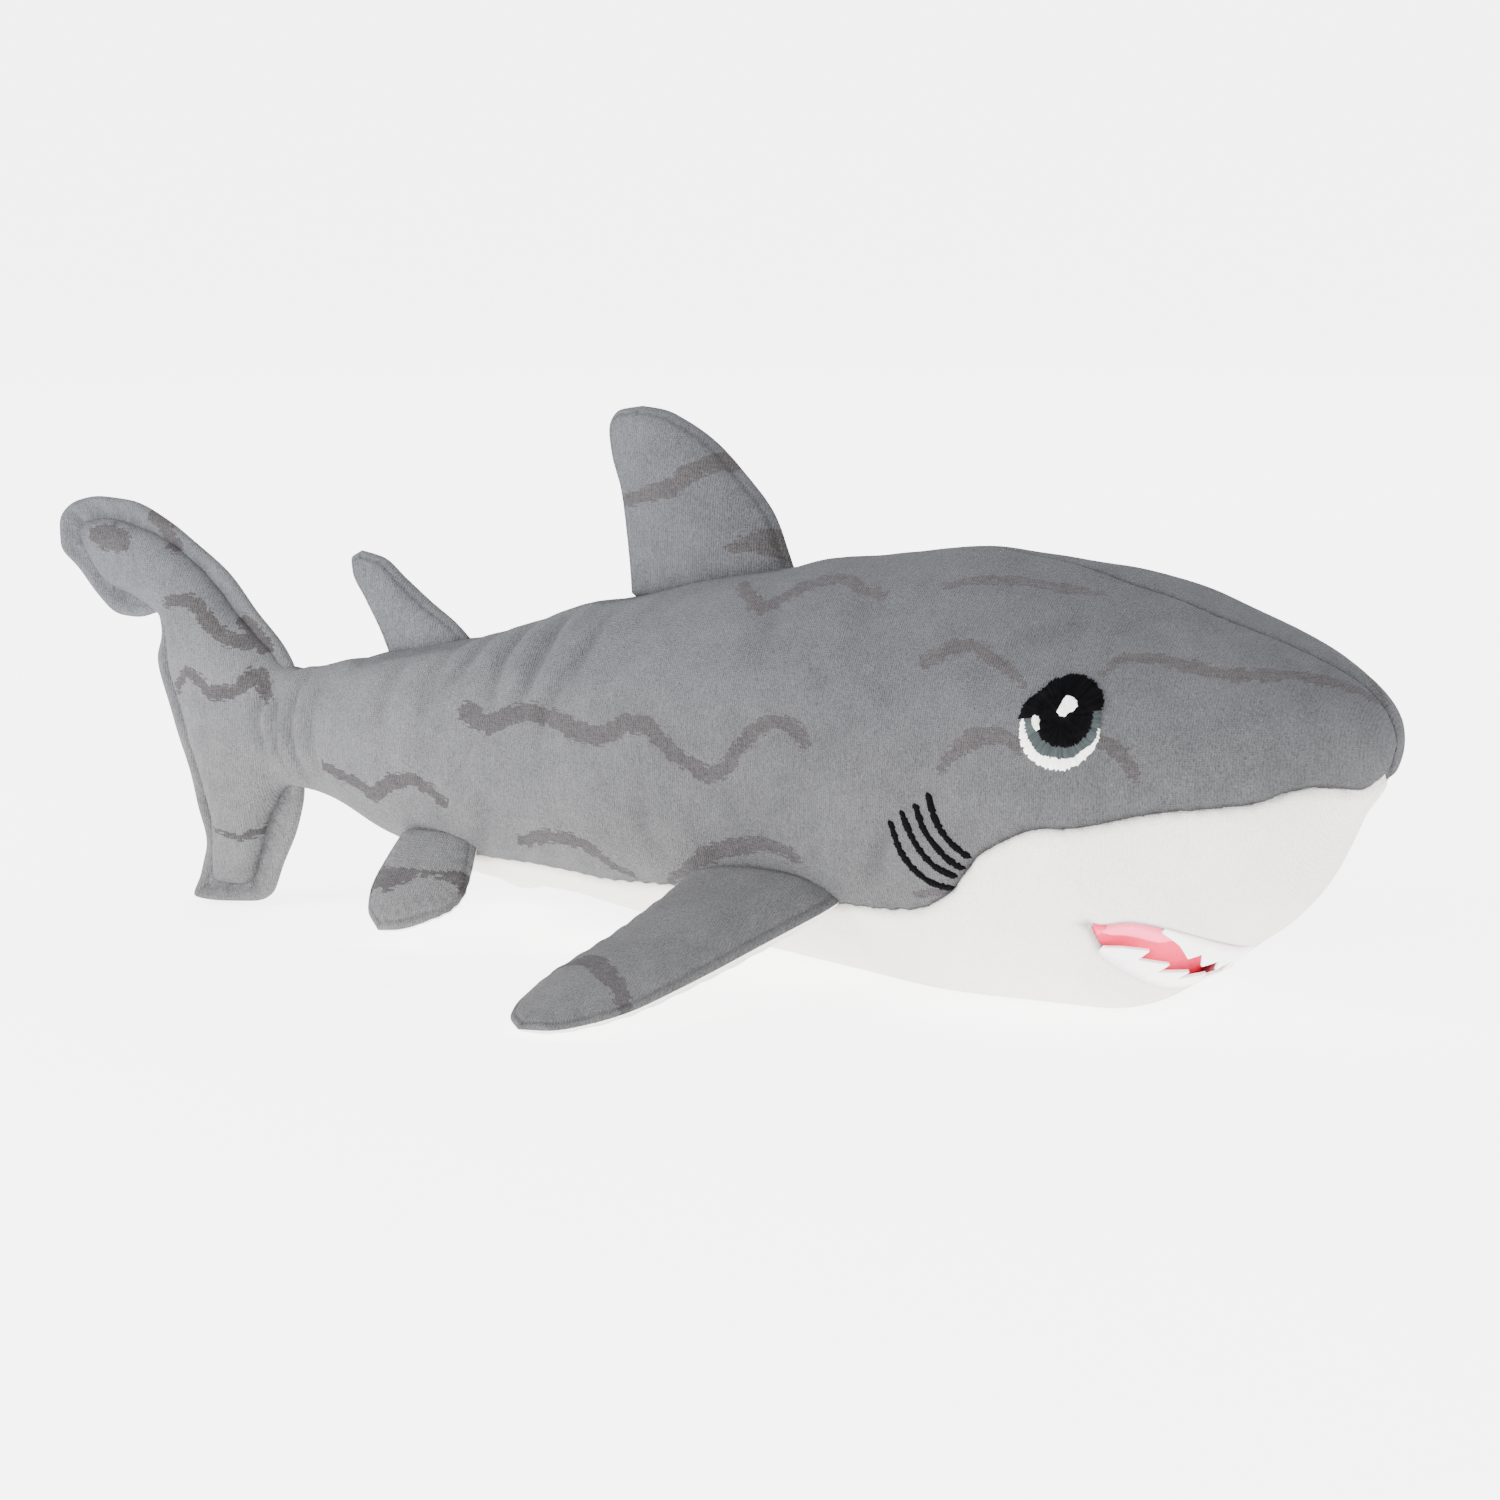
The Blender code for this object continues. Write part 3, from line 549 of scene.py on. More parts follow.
# Mouth, from the middle to the corner: y, then x and z of the upper and of the lower lip
mouth_lips = curve_through((
    (0.0, 158, 16.0, 142.5, 5.5),
    (10.0, 157.6, 16.8, 142.2, 6.3),
    (19.0, 156.5, 18.8, 141.3, 8.3),
    (28.0, 153.5, 21.8, 139.8, 11.8),
    (36.0, 148.5, 24.8, 137.6, 16.0),
    (42.0, 141.0, 27.2, 135.0, 20.5),
    (45.5, 134.6, 25.7, 134.2, 25.2),
))
MOUTH_CORNER = 45.5
MOUTH_FRONT_OF, MOUTH_BELOW = 115, 36     # the mouth is cut only in this part of the head
INTO_MOUTH = np.array([-0.72, 0.0, 0.69])


def body_point(x, degrees):
    """Points of the body at x and an angle round its section; 0 is its left side and 90 its top."""
    top, bottom, half = np.moveaxis(body_curve(x), -1, 0)
    c, s = np.cos(np.radians(degrees)), np.sin(np.radians(degrees))
    power = 2 / SECTION_POWER
    z = (top + bottom) / 2 + (top - bottom) / 2 * np.sign(s) * np.abs(s) ** power
    return np.column_stack([x, half * np.sign(c) * np.abs(c) ** power, np.maximum(z, 0.0)])


def round_the_section(points):
    """Angle round the body's section, and the section's size, of each point."""
    top, bottom, half = np.moveaxis(body_curve(points[:, 0]), -1, 0)
    rise = np.maximum((top - bottom) / 2, 1.0)
    s = (points[:, 2] - (top + bottom) / 2) / rise
    c = np.abs(points[:, 1]) / np.maximum(half, 1.0)
    power = SECTION_POWER / 2
    angle = np.degrees(np.arctan2(np.sign(s) * np.abs(s) ** power, c**power))
    return angle, np.maximum(rise, half)


def belly_field(points):
    """Distance above the seam between the white belly and the grey sides; below it is negative."""
    x = points[:, 0]
    angle, radius = round_the_section(points)
    climb = np.radians(belly_seam(x + 1)[:, 0] - belly_seam(x - 1)[:, 0]) / 2 * radius
    field = np.radians(angle - belly_seam(x)[:, 0]) * radius / np.hypot(1, climb)
    return np.where(x < BELLY_END, np.abs(field) + 0.5, field)


def side_field(points):
    """Distance to the left of the middle seam."""
    top, bottom, _ = np.moveaxis(body_curve(points[:, 0]), -1, 0)
    up = np.clip((points[:, 2] - (top + bottom) / 2) / np.maximum((top - bottom) / 2, 1), 0, 1)
    return points[:, 1] - top_seam(points[:, 0])[:, 0] * np.where(points[:, 0] > BACK_END, up, 0)


def mouth_field(points):
    """Distance inside the mouth's opening; outside it is negative."""
    across = np.abs(points[:, 1])
    upper_x, upper_z, lower_x, lower_z = np.moveaxis(mouth_lips(across), -1, 0)
    dx, dz = lower_x - upper_x, lower_z - upper_z
    length = np.hypot(dx, dz)
    along = ((points[:, 0] - upper_x) * dx + (points[:, 2] - upper_z) * dz) / length
    inside = np.minimum(np.minimum(along, length - along), MOUTH_CORNER - across)
    here = (points[:, 0] > MOUTH_FRONT_OF) & (points[:, 2] < MOUTH_BELOW)
    return np.where(here, inside, -50.0)


SMOOTHING_LOSS = 1.3     # how much of its edge the tail's pillow loses when its skin is smoothed
SKIN_CELL = 1.5          # size of the cloth's squares
SMOOTHING_PASSES = 5
SEAM_BAND = 3.6          # the cloth is made twice as fine this near to a seam


def tail_pillow():
    """The stuffed part of the tail fin."""
    rows = curve_through([(i, *row) for i, row in enumerate(TAIL_ROWS)])

    def point(u, v):
        turn = 1 - np.abs(2 * u - 1)
        front_x, front_z, back_x, back_z, half = np.moveaxis(rows(v * (len(TAIL_ROWS) - 1)), -1, 0)
        fullness = np.maximum(1 - np.abs(2 * turn - 1) ** 2.6, 0) ** 0.6
        side = np.where(u <= 0.5, -1, 1)
        width = np.hypot(back_x - front_x, back_z - front_z)
        turn = turn + (2 * turn - 1) * SMOOTHING_LOSS / np.maximum(width, 4)
        return np.column_stack([front_x + (back_x - front_x) * turn, side * half * fullness,
                                front_z + (back_z - front_z) * turn])

    return close(grid(point, 48, 90))


def body_form():
    """The stuffed body, with rows that come closer together towards the nose."""
    def point(u, v):
        reach = 1 - (1 - u) ** 1.6
        return body_point(REAR_END + (NOSE - REAR_END) * reach, 360 * v)

    return close(grid(point, 190, 120))


def stuffed_form():
    """The body and the stuffed tail in one soft skin, as a bmesh in drawn mm."""
    bm = body_form()
    tail = tail_pillow()
    spare = bpy.data.meshes.new("spare")
    tail.to_mesh(spare)
    bm.from_mesh(spare)
    tail.free()
    bmesh.ops.scale(bm, vec=(MM, MM, MM), verts=bm.verts)
    form = mesh_object("stuffed_form", bm)
    add_modifier(form, "REMESH", mode="VOXEL", voxel_size=SKIN_CELL * MM)
    apply_modifiers(form)
    bm = bmesh.new()
    bm.from_mesh(form.data)
    bpy.data.objects.remove(form)
    bpy.data.meshes.remove(spare)
    bmesh.ops.scale(bm, vec=(1 / MM, 1 / MM, 1 / MM), verts=bm.verts)
    for _ in range(SMOOTHING_PASSES):
        bmesh.ops.smooth_vert(bm, verts=bm.verts, factor=0.5, use_axis_x=True, use_axis_y=True,
                              use_axis_z=True)
    return bm


def split_along(bm, field, snap=0.12):
    """Cuts the faces along the line where field(points) is zero, so that edges run along it."""
    values = field(points_of(bm))
    values[np.abs(values) < snap] = 0.0
    value_of = dict(zip(bm.verts, values))
    for edge in list(bm.edges):
        start, end = edge.verts
        if value_of[start] * value_of[end] < 0:
            share = value_of[start] / (value_of[start] - value_of[end])
            vert = bmesh.utils.edge_split(edge, start, share)[1]
            value_of[vert] = 0.0
    for face in list(bm.faces):
        ring = [value_of[vert] for vert in face.verts]
        if min(ring) < 0 < max(ring):
            on_line = [vert for vert in face.verts if value_of[vert] == 0.0]
            for i, start in enumerate(on_line):
                end = on_line[(i + 1) % len(on_line)]
                if start != end and not any(end in edge.verts for edge in start.link_edges):
                    bmesh.utils.face_split(face, start, end)
                    break


def refine_near(bm, *fields):
    centres = np.array([face.calc_center_median()[:] for face in bm.faces])
    near = np.zeros(len(centres), bool)
    for field in fields:
        near |= np.abs(field(centres)) < SEAM_BAND
    edges = {edge for face, close_by in zip(bm.faces, near) if close_by for edge in face.edges}
    bmesh.ops.subdivide_edges(bm, edges=list(edges), cuts=1, use_grid_fill=True)


def upper_side_field(points):
    """The middle seam where it shows: on the back, the snout and under the narrow end."""
    field = side_field(points)
    angle, _ = round_the_section(points)
    shows = (angle > 20) | (points[:, 0] < BACK_END) | (points[:, 0] > 186)
    return np.where(shows, field, 50.0)


# ---------------------------------------------------------------- folds and puckers

def flank(route):
    """Points of the body form at x and z on its right side."""
    x, z = np.array(route, float).T
    top, bottom, half = np.moveaxis(body_curve(x), -1, 0)
    share = np.clip(np.abs(z - (top + bottom) / 2) / ((top - bottom) / 2), 0, 1)
    return np.column_stack([x, -half * (1 - share**SECTION_POWER) ** (1 / SECTION_POWER), z])


def dense(points, count):
    return line_through(points)(np.linspace(0, 1, count))


# Soft folds on the flank: x and z along each, its depth and its half width
FOLDS = (
    (((-17, 91), (-22, 80), (-30, 68), (-32, 58)), 1.5, 3.0),
    (((-33, 90), (-37, 80), (-39, 68)), 1.9, 3.4),
    (((-45, 86), (-50, 76), (-50, 66)), 1.4, 2.6),
    (((-56, 84), (-63, 74), (-70, 66)), 1.2, 2.6),
    (((-68, 79), (-73, 70), (-74, 58)), 1.0, 3.0),
    (((-84, 75), (-88, 64), (-88, 54)), 0.8, 3.0),
    (((30, 104), (38, 92), (40, 80)), 0.7, 5.0),
    (((62, 106), (66, 96), (63, 84)), 0.6, 5.0),
    (((-60, 24), (-52, 34), (-50, 44)), 0.9, 3.0),
    (((12, 28), (4, 38), (2, 50)), 0.8, 4.0),
    (((72, 33), (78, 42), (80, 52)), 0.9, 3.0),
    (((104, 84), (112, 94), (126, 100)), 0.6, 4.0),
    (((-112, 66), (-115, 54), (-112, 40)), 0.9, 1.7),
    (((-119, 67), (-122, 53), (-118, 38)), 1.5, 1.3),
    (((-124, 68), (-127.5, 53), (-124, 39)), 1.6, 1.2),
    (((-130, 64), (-133, 54), (-130, 44)), 1.3, 1.5),
)


def folds(points):
    """How far the cloth sinks in its folds, which are the same on both sides."""
    near = np.column_stack([points[:, 0], -np.abs(points[:, 1]), points[:, 2]])
    sink = np.zeros(len(points))
    for route, depth, width in FOLDS:
        line = dense(flank(route), 12)
        near_fold = np.abs(points[:, 0] - line[:, 0].mean()) < 30
        gap, along = nearest_on_line(near[near_fold], line)
        fade = np.sin(np.pi * np.clip(along, 0.04, 0.96)) ** 0.6
        sink[near_fold] += fade * depth * (bump(gap, width) - 0.3 * bump(gap - 2.1 * width, 1.2 * width))
    return sink


def lumps(points, size, height):
    """Gentle unevenness of the stuffing."""
    waves = np.zeros(len(points))
    rng = np.random.default_rng(7)
    for _ in range(7):
        way = rng.normal(size=3)
        way *= math.tau / (size * rng.uniform(0.7, 1.5) * np.linalg.norm(way))
        waves += np.sin(points @ way + rng.uniform(0, math.tau))
    return waves * height / 3


# Root lines of the dorsal and the rear dorsal fin, x and z
FIN_ROOTS = (
    ((-20, 95), (4, 100), (27, 105)),
    ((-97, 76), (-84, 78.5), (-71, 81)),
)
PUCKER_PITCH = 5.3                 # of the cloth along a seam
SEAM_FADE = (-112, -100)           # the top seam's groove fades out here, before the tail
TAIL_GROOVE_START = -122


def root_gaps(points):
    """Distance of each point from each upright fin's root line."""
    for root in FIN_ROOTS:
        yield nearest_on_line(points, np.array([(x, 0.0, z) for x, z in root]))[0]


def skin_painted_shade(points):
    """Painted shade: dark lines in the seams, and soft shade in the folds, at the fin roots, round the mouth
    and along the tail's groove.
    """
    belly, side, mouth = belly_field(points), upper_side_field(points), mouth_field(points)
    on_back = ramp(points[:, 0], *SEAM_FADE)
    shade = 0.75 * bump(belly, 0.6) + 0.3 * bump(belly, 2.2)
    shade = np.maximum(shade, on_back * (0.45 * bump(side, 0.5) + 0.12 * bump(side, 2.5)))
    shade = np.maximum(shade, bump(mouth, 1.2))
    shade += 0.42 * np.maximum(folds(points), 0)
    for gap in root_gaps(points):
        shade = np.maximum(shade, 0.6 * bump(np.maximum(gap - 8.5, 0), 2.0))
    edge = np.where(points[:, 0] < TAIL_GROOVE_START, 0.9 * bump(points[:, 1], 1.6), 0)
    return np.maximum(shade, edge)


def skin_displacement(points):
    """How far the cloth stands out from the smooth form: it sinks in seams and folds, and is lumpy."""
    belly, side, mouth = belly_field(points), upper_side_field(points), mouth_field(points)
    sink = folds(points)
    pucker = 1 + 0.35 * np.sin(points[:, 0] * math.tau / PUCKER_PITCH)
    sink += 1.05 * bump(belly, 0.95) * pucker + 0.45 * bump(belly, 4.5)
    sink += ramp(points[:, 0], *SEAM_FADE) * (0.6 * bump(side, 0.8) * pucker + 0.35 * bump(side, 4.0))
    sink += 1.0 * bump(mouth, 1.5)
    for gap in root_gaps(points):
        sink += 1.2 * bump(np.maximum(gap - 7, 0), 4.0)
    off_the_table = ramp(points[:, 2], 0.5, 14.0)
    off_the_nose = 1 - 0.8 * ramp(points[:, 0], 150, 185)
    soft = off_the_table * off_the_nose
    return -sink * off_the_table + lumps(points, 46, 0.55) * soft + lumps(points, 17, 0.16) * soft


# ---------------------------------------------------------------- stripes

def on_flank(*route):
    return flank(route)


THROUGHOUT, SEEN_FROM_THE_SIDE, SEEN_FROM_ABOVE = np.array([(1, 1, 1), (1, 0, 1), (1, 1, 0)])
ANYWHERE, THIN, WIDE = (-1, 90), (-1, 14), (14, 120)
LEVEL_STRIPES_BELOW = 21
# Each stripe: its middle line, its half width at the start, the middle and the end, and how far out it lies
BODY_STRIPES = (
    (on_flank((-58, 63), (-50, 61), (-36, 65.5), (-26, 64.5), (-16, 62), (-9, 62), (0, 66), (5, 66),
              (11, 62),
              (18, 58), (26, 55.5), (30, 57), (35, 63), (40, 68), (46, 70.5), (52, 69.5), (55, 66.5)),
     (2.9, 2.4, 1.9), ANYWHERE),
    (on_flank((-40, 30), (-29, 33), (-21, 33), (-15, 31), (-9, 27), (-3, 25)), (1.8, 2.1, 1.3), ANYWHERE),
    (on_flank((9, 25), (17, 30), (25, 34.5), (33, 37), (42, 39), (48, 38.5), (53, 36)), (1.2, 2.8, 1.5),
     ANYWHERE),
    (on_flank((-110, 43), (-104, 41), (-96, 39), (-92, 37), (-83, 42), (-75, 43), (-70, 41), (-65, 38)),
     (1.3, 2.4, 1.5), ANYWHERE),
    (on_flank((87, 89), (93, 92), (98, 92.5), (103, 91), (110, 87.5), (115, 84)), (2.3, 1.9, 1.3), ANYWHERE),
    (on_flank((95, 63), (99, 68), (104, 71.5), (110, 72.5), (116, 70.5)), (1.2, 2.6, 2.0), ANYWHERE),
    (on_flank((136, 73), (141, 70.5), (145, 64.5)), (1.8, 1.9, 1.3), ANYWHERE),
    (((133, -40, 88), (136, -36, 91), (144, -33, 91.5), (153, -31, 90), (161, -28, 88), (168, -23, 87.5),
      (174, -17, 87.5), (180, -12, 86), (186, -6, 83.5), (192, -1, 80.5)), (1.4, 2.0, 1.9), ANYWHERE),
    (((22, -17, 101), (33, -27, 97), (41, -24, 101), (51, -21, 104), (60, -25, 103), (68, -28, 102)),
     (1.8, 2.6, 1.6), ANYWHERE),
    (((85, -27, 106), (93, -24, 107), (103, -22, 107), (112, -21, 106), (125, -20, 104)), (1.6, 2.4, 1.4),
     ANYWHERE),
    (((86, -47, 31), (97, -48, 33)), (0.9, 1.1, 0.9), ANYWHERE),
)
UPRIGHT_STRIPES = (
    # tail
    (((-190, 0, 101), (-185, 0, 100.5), (-179, 0, 99.5)), (2.2, 3.8, 2.6), THIN),
    (((-163, 0, 84), (-156, 0, 85), (-150, 0, 80), (-144, 0, 75), (-138, 0, 74)), (1.6, 2.1, 1.8), THIN),
    (((-161, 0, 60), (-156, 0, 65), (-152, 0, 63), (-147, 0, 60), (-140, 0, 61), (-135, 0, 66),
      (-130, 0, 60)), (1.5, 2.0, 1.8), THIN),
    (((-150, 0, 21), (-142, 0, 19.5), (-134, 0, 23)), (0.7, 1.1, 0.7), THIN),
    (((-171, 0, 107), (-163, 0, 99)), (1.8, 2.0, 1.8), THIN),
    (((-141, 0, 80), (-134, 0, 73)), (1.8, 2.0, 1.8), THIN),
    # dorsal fin
    (((-24, 0, 118), (-13, 0, 121), (-4, 0, 123.5), (0, 0, 127), (6, 0, 130), (13, 0, 131.5)),
     (1.5, 2.3, 2.6), THIN),
    (((13, 0, 109), (20, 0, 110.5), (29, 0, 108)), (1.2, 3.2, 3.0), THIN),
)
LEVEL_STRIPES = (
    (((-85, -27, 0), (-76, -31, 0), (-68, -27, 0), (-55, -26, 0)), (2.0, 2.6, 2.0), WIDE),
    (((4, -94, 0), (10, -91, 0), (17, -90, 0), (26, -95, 0), (34, -101, 0), (38, -105, 0)), (1.3, 2.6, 1.5),
     (80, 120)),
)


def stripe_field(points):
    """How deep each point lies inside a stripe; outside all of them it is negative."""
    near = np.column_stack([points[:, 0], -np.abs(points[:, 1]), points[:, 2]])
    best = np.full(len(points), -40.0)
    for axes, stripes in ((THROUGHOUT, BODY_STRIPES), (SEEN_FROM_THE_SIDE, UPRIGHT_STRIPES),
                          (SEEN_FROM_ABOVE, LEVEL_STRIPES)):
        for route, widths, reach in stripes:
            line = dense(route, 6 * len(route)) * axes
            low, high = line.min(0) - 9, line.max(0) + 9
            flat = near * axes
            close_by = np.all((flat > low) & (flat < high), axis=1)
            close_by &= (-near[:, 1] > reach[0]) & (-near[:, 1] < reach[1])
            if stripes is LEVEL_STRIPES:
                close_by &= near[:, 2] < LEVEL_STRIPES_BELOW
            if not close_by.any():
                continue
            gap, along = nearest_on_line(flat[close_by], line)
            half = np.interp(along, (0, 0.5, 1), widths)
            best[close_by] = np.maximum(best[close_by], half - gap)
    return best


def store(obj, name, values):
    """Keeps a value of 0 to 1 for each point, for the finish to read."""
    layer = obj.data.attributes.new(name, "FLOAT", "POINT")
    layer.data.foreach_set("value", np.clip(values, 0, 1).astype(np.float32))


def remember_place(obj, drawn):
    """Stores where the cloth lies, in drawn mm, so that its pattern stays with it when it bends."""
    place = obj.data.attributes.new("place", "FLOAT_VECTOR", "POINT")
    place.data.foreach_set("vector", drawn.ravel())
    stripe = obj.data.attributes.new("stripe", "FLOAT", "POINT")
    stripe.data.foreach_set("value", stripe_field(drawn))


def settle(obj):
    """Puts a piece drawn in mm into the frame."""
    drawn = mesh_points(obj.data)
    remember_place(obj, drawn)
    move_points(obj.data, to_frame(drawn))
    return obj


def belongs(obj, slot, *nodes):
    """Hides the parts of the frame that a piece of the body stands for, and hangs the piece on the body."""
    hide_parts(*nodes)
    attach(obj, "body")


# ---------------------------------------------------------------- skin

CLOTH_WALL = 1.1


def tail_blend(obj):
    """Bakes the cloth's placement into its points."""
    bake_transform(obj)


def make_skin():
    """The three skins of the body, cut from one soft form, and a search tree of that form."""
    bm = stuffed_form()
    refine_near(bm, belly_field, upper_side_field, lambda points: mouth_field(points) * 1.3)
    for field in (belly_field, side_field, mouth_field):
        split_along(bm, field)
    centres = np.array([face.calc_center_median()[:] for face in bm.faces])
    belly, side = belly_field(centres) < 0, side_field(centres) < 0
    mouth = (mouth_field(centres) > 0) & belly
    bm.normal_update()
    points = points_of(bm)
    normals = np.array([vert.normal[:] for vert in bm.verts])
    moved = points + normals * skin_displacement(points)[:, None]
    for vert, co in zip(bm.verts, moved):
        vert.co = co
    chosen = {
        "side_cloth_right": (~belly & side, GREY_PLUSH, "grey_plush", "body_side_right"),
        "side_cloth_left": (~belly & ~side, GREY_PLUSH, "grey_plush", "body_side_left"),
        "belly_cloth": (belly & ~mouth, WHITE_PLUSH, "white_plush", "belly_panel"),
    }
    for name, (keep, finish, slot, node) in chosen.items():
        piece = bm.copy()
        piece.faces.ensure_lookup_table()
        drop = [piece.faces[i] for i in np.flatnonzero(~keep)]
        bmesh.ops.delete(piece, geom=drop, context="FACES")
        cloth = mesh_object(name, piece, finish)
        # Painted shade in the seams, folds and grooves of the skin.
        store(cloth, "painted_shade", skin_painted_shade(mesh_points(cloth.data)))
        settle(cloth)
        give_wall(cloth, CLOTH_WALL)
        apply_modifiers(cloth)
        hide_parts(node)
        if name == "belly_cloth":
            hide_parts("body_stuffing")
            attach(cloth, "body")
        else:
            tail_node = "tail_side_" + name.rsplit("_", 1)[1]
            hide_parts(tail_node, "tail_stuffing")
            tail_blend(cloth)
    tree = BVHTree.FromBMesh(bm)
    bm.free()
    return tree


RIM_STEPS = 420
RIM_WAVE, RIM_PUCKER = 35, 14      # steps of the rim from one wave or pucker to the next
# The rim's section from its edge inwards: how far in, and half its thickness there
RIM_LAYERS = ((0.15, 0.8), (0.7, 1.4), (1.7, 1.8), (3.0, 1.7), (4.3, 1.2), (5.3, 0.8), (60, 0.9))


def make_tail_rim():
    """The flat rim sewn round the tail: two layers of cloth with a soft edge and small puckers."""
    count = RIM_STEPS
    outline = dense(TAIL_RIM + TAIL_RIM[:1], count + 1)[:-1]
    for _ in range(6):
        outline = (np.roll(outline, 1, 0) + 2 * outline + np.roll(outline, -1, 0)) / 4
    spine = dense([((row[0] + row[2]) / 2, 0.0, (row[1] + row[3]) / 2) for row in TAIL_ROWS[1:-1]], 60)
    flat = np.column_stack([outline[:, 0], np.zeros(count), outline[:, 1]])
    gap = np.linalg.norm(flat[:, None] - spine[None], axis=2)
    towards = spine[gap.argmin(1)] - flat
    distance = gap.min(1)
    inwards = towards / distance[:, None]
    reach = 0.9 * distance
    curl = 3.2 * bump(flat[:, 2] - 2.0, 4.0) * ramp(-flat[:, 0], 134, 156)
    roll = 1 + 1.1 * bump(flat[:, 2], 4.5)
    rings = [*reversed(RIM_LAYERS), (0.0, 0.0), *((depth, -half) for depth, half in RIM_LAYERS)]
    depths, halves = np.array(rings).T

    def point(u, v):
        ring = np.round(u * (len(rings) - 1)).astype(int)
        spot = np.round(v * count).astype(int) % count
        share = np.minimum(depths[ring], reach[spot])
        wave = 0.45 * np.sin(spot * math.tau / RIM_WAVE) * np.exp(-share / 2.5)
        puckers = 1 + 0.16 * np.sin(spot * math.tau / RIM_PUCKER) * bump(share - 4.2, 2.0)
        half = halves[ring] * (roll[spot] * puckers)
        co = flat[spot] + inwards[spot] * share[:, None]
        co[:, 1] += half + wave - curl[spot] * np.exp(-share / 2.5)
        co[:, 2] = np.maximum(co[:, 2], 0.5)
        return co

    bm = outwards(weld(grid(point, len(rings) - 1, count), 1e-3))
    rim = mesh_object("tail_rim_cloth", bm, GREY_PLUSH)
    drawn = mesh_points(rim.data)
    depth, _ = nearest_on_line(drawn * (1, 0, 1), np.concatenate([flat, flat[:1]]))
    puckers = 0.5 + 0.5 * np.sin(np.arctan2(drawn[:, 2] - 60, drawn[:, 0] + 150) * 90)
    # Painted shade from the rim's groove inwards, under the stuffed tail, and in its puckers.
    store(rim, "painted_shade", 0.9 * ramp(depth, 4.3, 6.0) + 0.35 * puckers * bump(depth - 4, 1.6))
    settle(rim)
    add_modifier(rim, "SUBSURF", levels=1, render_levels=1)
    apply_modifiers(rim)
    tail_blend(rim)


# ---------------------------------------------------------------- fins

# Fins on the left side or the middle: rear edge and front edge from root to tip, and the half thickness
FINS = {
    "dorsal_fin": {
        "rear": ((-20, 0, 92), (-20.5, 0, 100), (-21.5, 0, 110), (-23, 0, 121), (-26, 0, 131),
                 (-26.8, 0, 137.5), (-24, 0, 142.3), (-17, 0, 143.8)),
        "front": ((29, 0, 101), (27, 0, 106), (22.5, 0, 117), (14, 0, 127), (5, 0, 135.4), (-3, 0, 140.2),
                  (-10, 0, 143), (-17, 0, 143.8)),
        "half": ((0, 7.6), (0.35, 8.2), (0.65, 6.8), (0.88, 4.6), (1, 3.4)),
    },
    "rear_dorsal_fin": {
        "rear": ((-95, 0, 72), (-98.5, 0, 80), (-103, 0, 88), (-107, 0, 95), (-107.4, 0, 98.5),
                 (-104, 0, 101)),
        "front": ((-69, 0, 78), (-74.5, 0, 83), (-82, 0, 88), (-90, 0, 94), (-97, 0, 99.4), (-104, 0, 101)),
        "half": ((0, 4.6), (0.35, 4.8), (0.65, 4.2), (0.88, 3.0), (1, 2.2)),
    },
    "pectoral": {
        "rear": ((17, 38, 27.5), (17, 46, 25), (15, 59, 20.4), (13, 70, 16.6), (9, 83, 12.4), (5.5, 93, 8.8),
                 (4.8, 102, 5.8), (6.5, 109, 3.6), (12, 114.5, 2.0)),
        "front": ((64, 40, 27), (62, 47, 24.6), (58, 56, 21.5), (53, 67, 17.8), (47.5, 79, 13.6),
                  (42, 90, 9.8), (36, 101, 6.2), (28, 109, 3.6), (20, 113.6, 2.2), (12, 114.5, 2.0)),
        "half": ((0, 6.4), (0.3, 6.8), (0.65, 5.4), (0.88, 3.8), (1, 2.8)),
    },
    "pelvic": {
        "rear": ((-82, 15, 28), (-83.5, 21, 22), (-84.5, 27, 15.5), (-82.5, 33, 9.4), (-77, 37, 5)),
        "front": ((-58, 17, 27), (-56.5, 22, 21), (-55.5, 27, 15), (-57.5, 30.5, 11), (-63, 33.5, 8.2),
                  (-71, 36.6, 5.6), (-77, 37, 5)),
        "half": ((0, 4.4), (0.4, 4.8), (0.7, 4.0), (0.9, 2.8), (1, 2.2)),
    },
}


PANEL_CELLS = (26, 34)
STUFFING_FRAMES = 20
STUFFING_PRESSURE, PUFF_LIMIT = 3.0, 1.6 * MM
EDGE_SEAM = 1.3             # the seam's groove lies this far in from a fin's edge
EDGE_PUCKERS = 24           # round one fin


def through_the_fin(fin, side):
    """Which way is through the fin's thickness, upwards or to the left."""
    rear, front = (np.array(fin[edge], float) * np.array([1, side, 1]) for edge in ("rear", "front"))
    along = front[0] - rear[0]
    out = rear[-1] - (rear[0] + front[0]) / 2
    through = np.cross(along, out)
    through /= np.linalg.norm(through)
    return through * np.sign(through[2] if abs(through[2]) > 0.2 else through[1])


def fin_form(fin, side, through):
    """A closed pillow of two panels; material 0 faces through the fin and material 1 the other way."""
    mirror = np.array([1, side, 1])
    rear, front = line_through(np.array(fin["rear"]) * mirror), line_through(np.array(fin["front"]) * mirror)
    thickness = curve_through(fin["half"])
    whole = bmesh.new()
    spare = bpy.data.meshes.new("spare")
    for index, face_way in enumerate((1, -1)):
        def point(u, v):
            across = (1 - np.cos(np.pi * u)) / 2
            reach = 1 - (1 - v) ** 1.35
            back, lead = rear(reach), front(reach)
            half = thickness(reach)[:, 0] * np.sqrt(np.maximum(1 - reach**5, 0))
            full = np.maximum(1 - np.abs(2 * across - 1) ** 2.5, 0) ** 0.62
            return back + (lead - back) * across[:, None] + through * (face_way * half * full)[:, None]

        panel = grid(point, *PANEL_CELLS)
        for face in panel.faces:
            face.material_index = index
        panel.to_mesh(spare)
        panel.free()
        whole.from_mesh(spare)
    bpy.data.meshes.remove(spare)
    return close(whole)


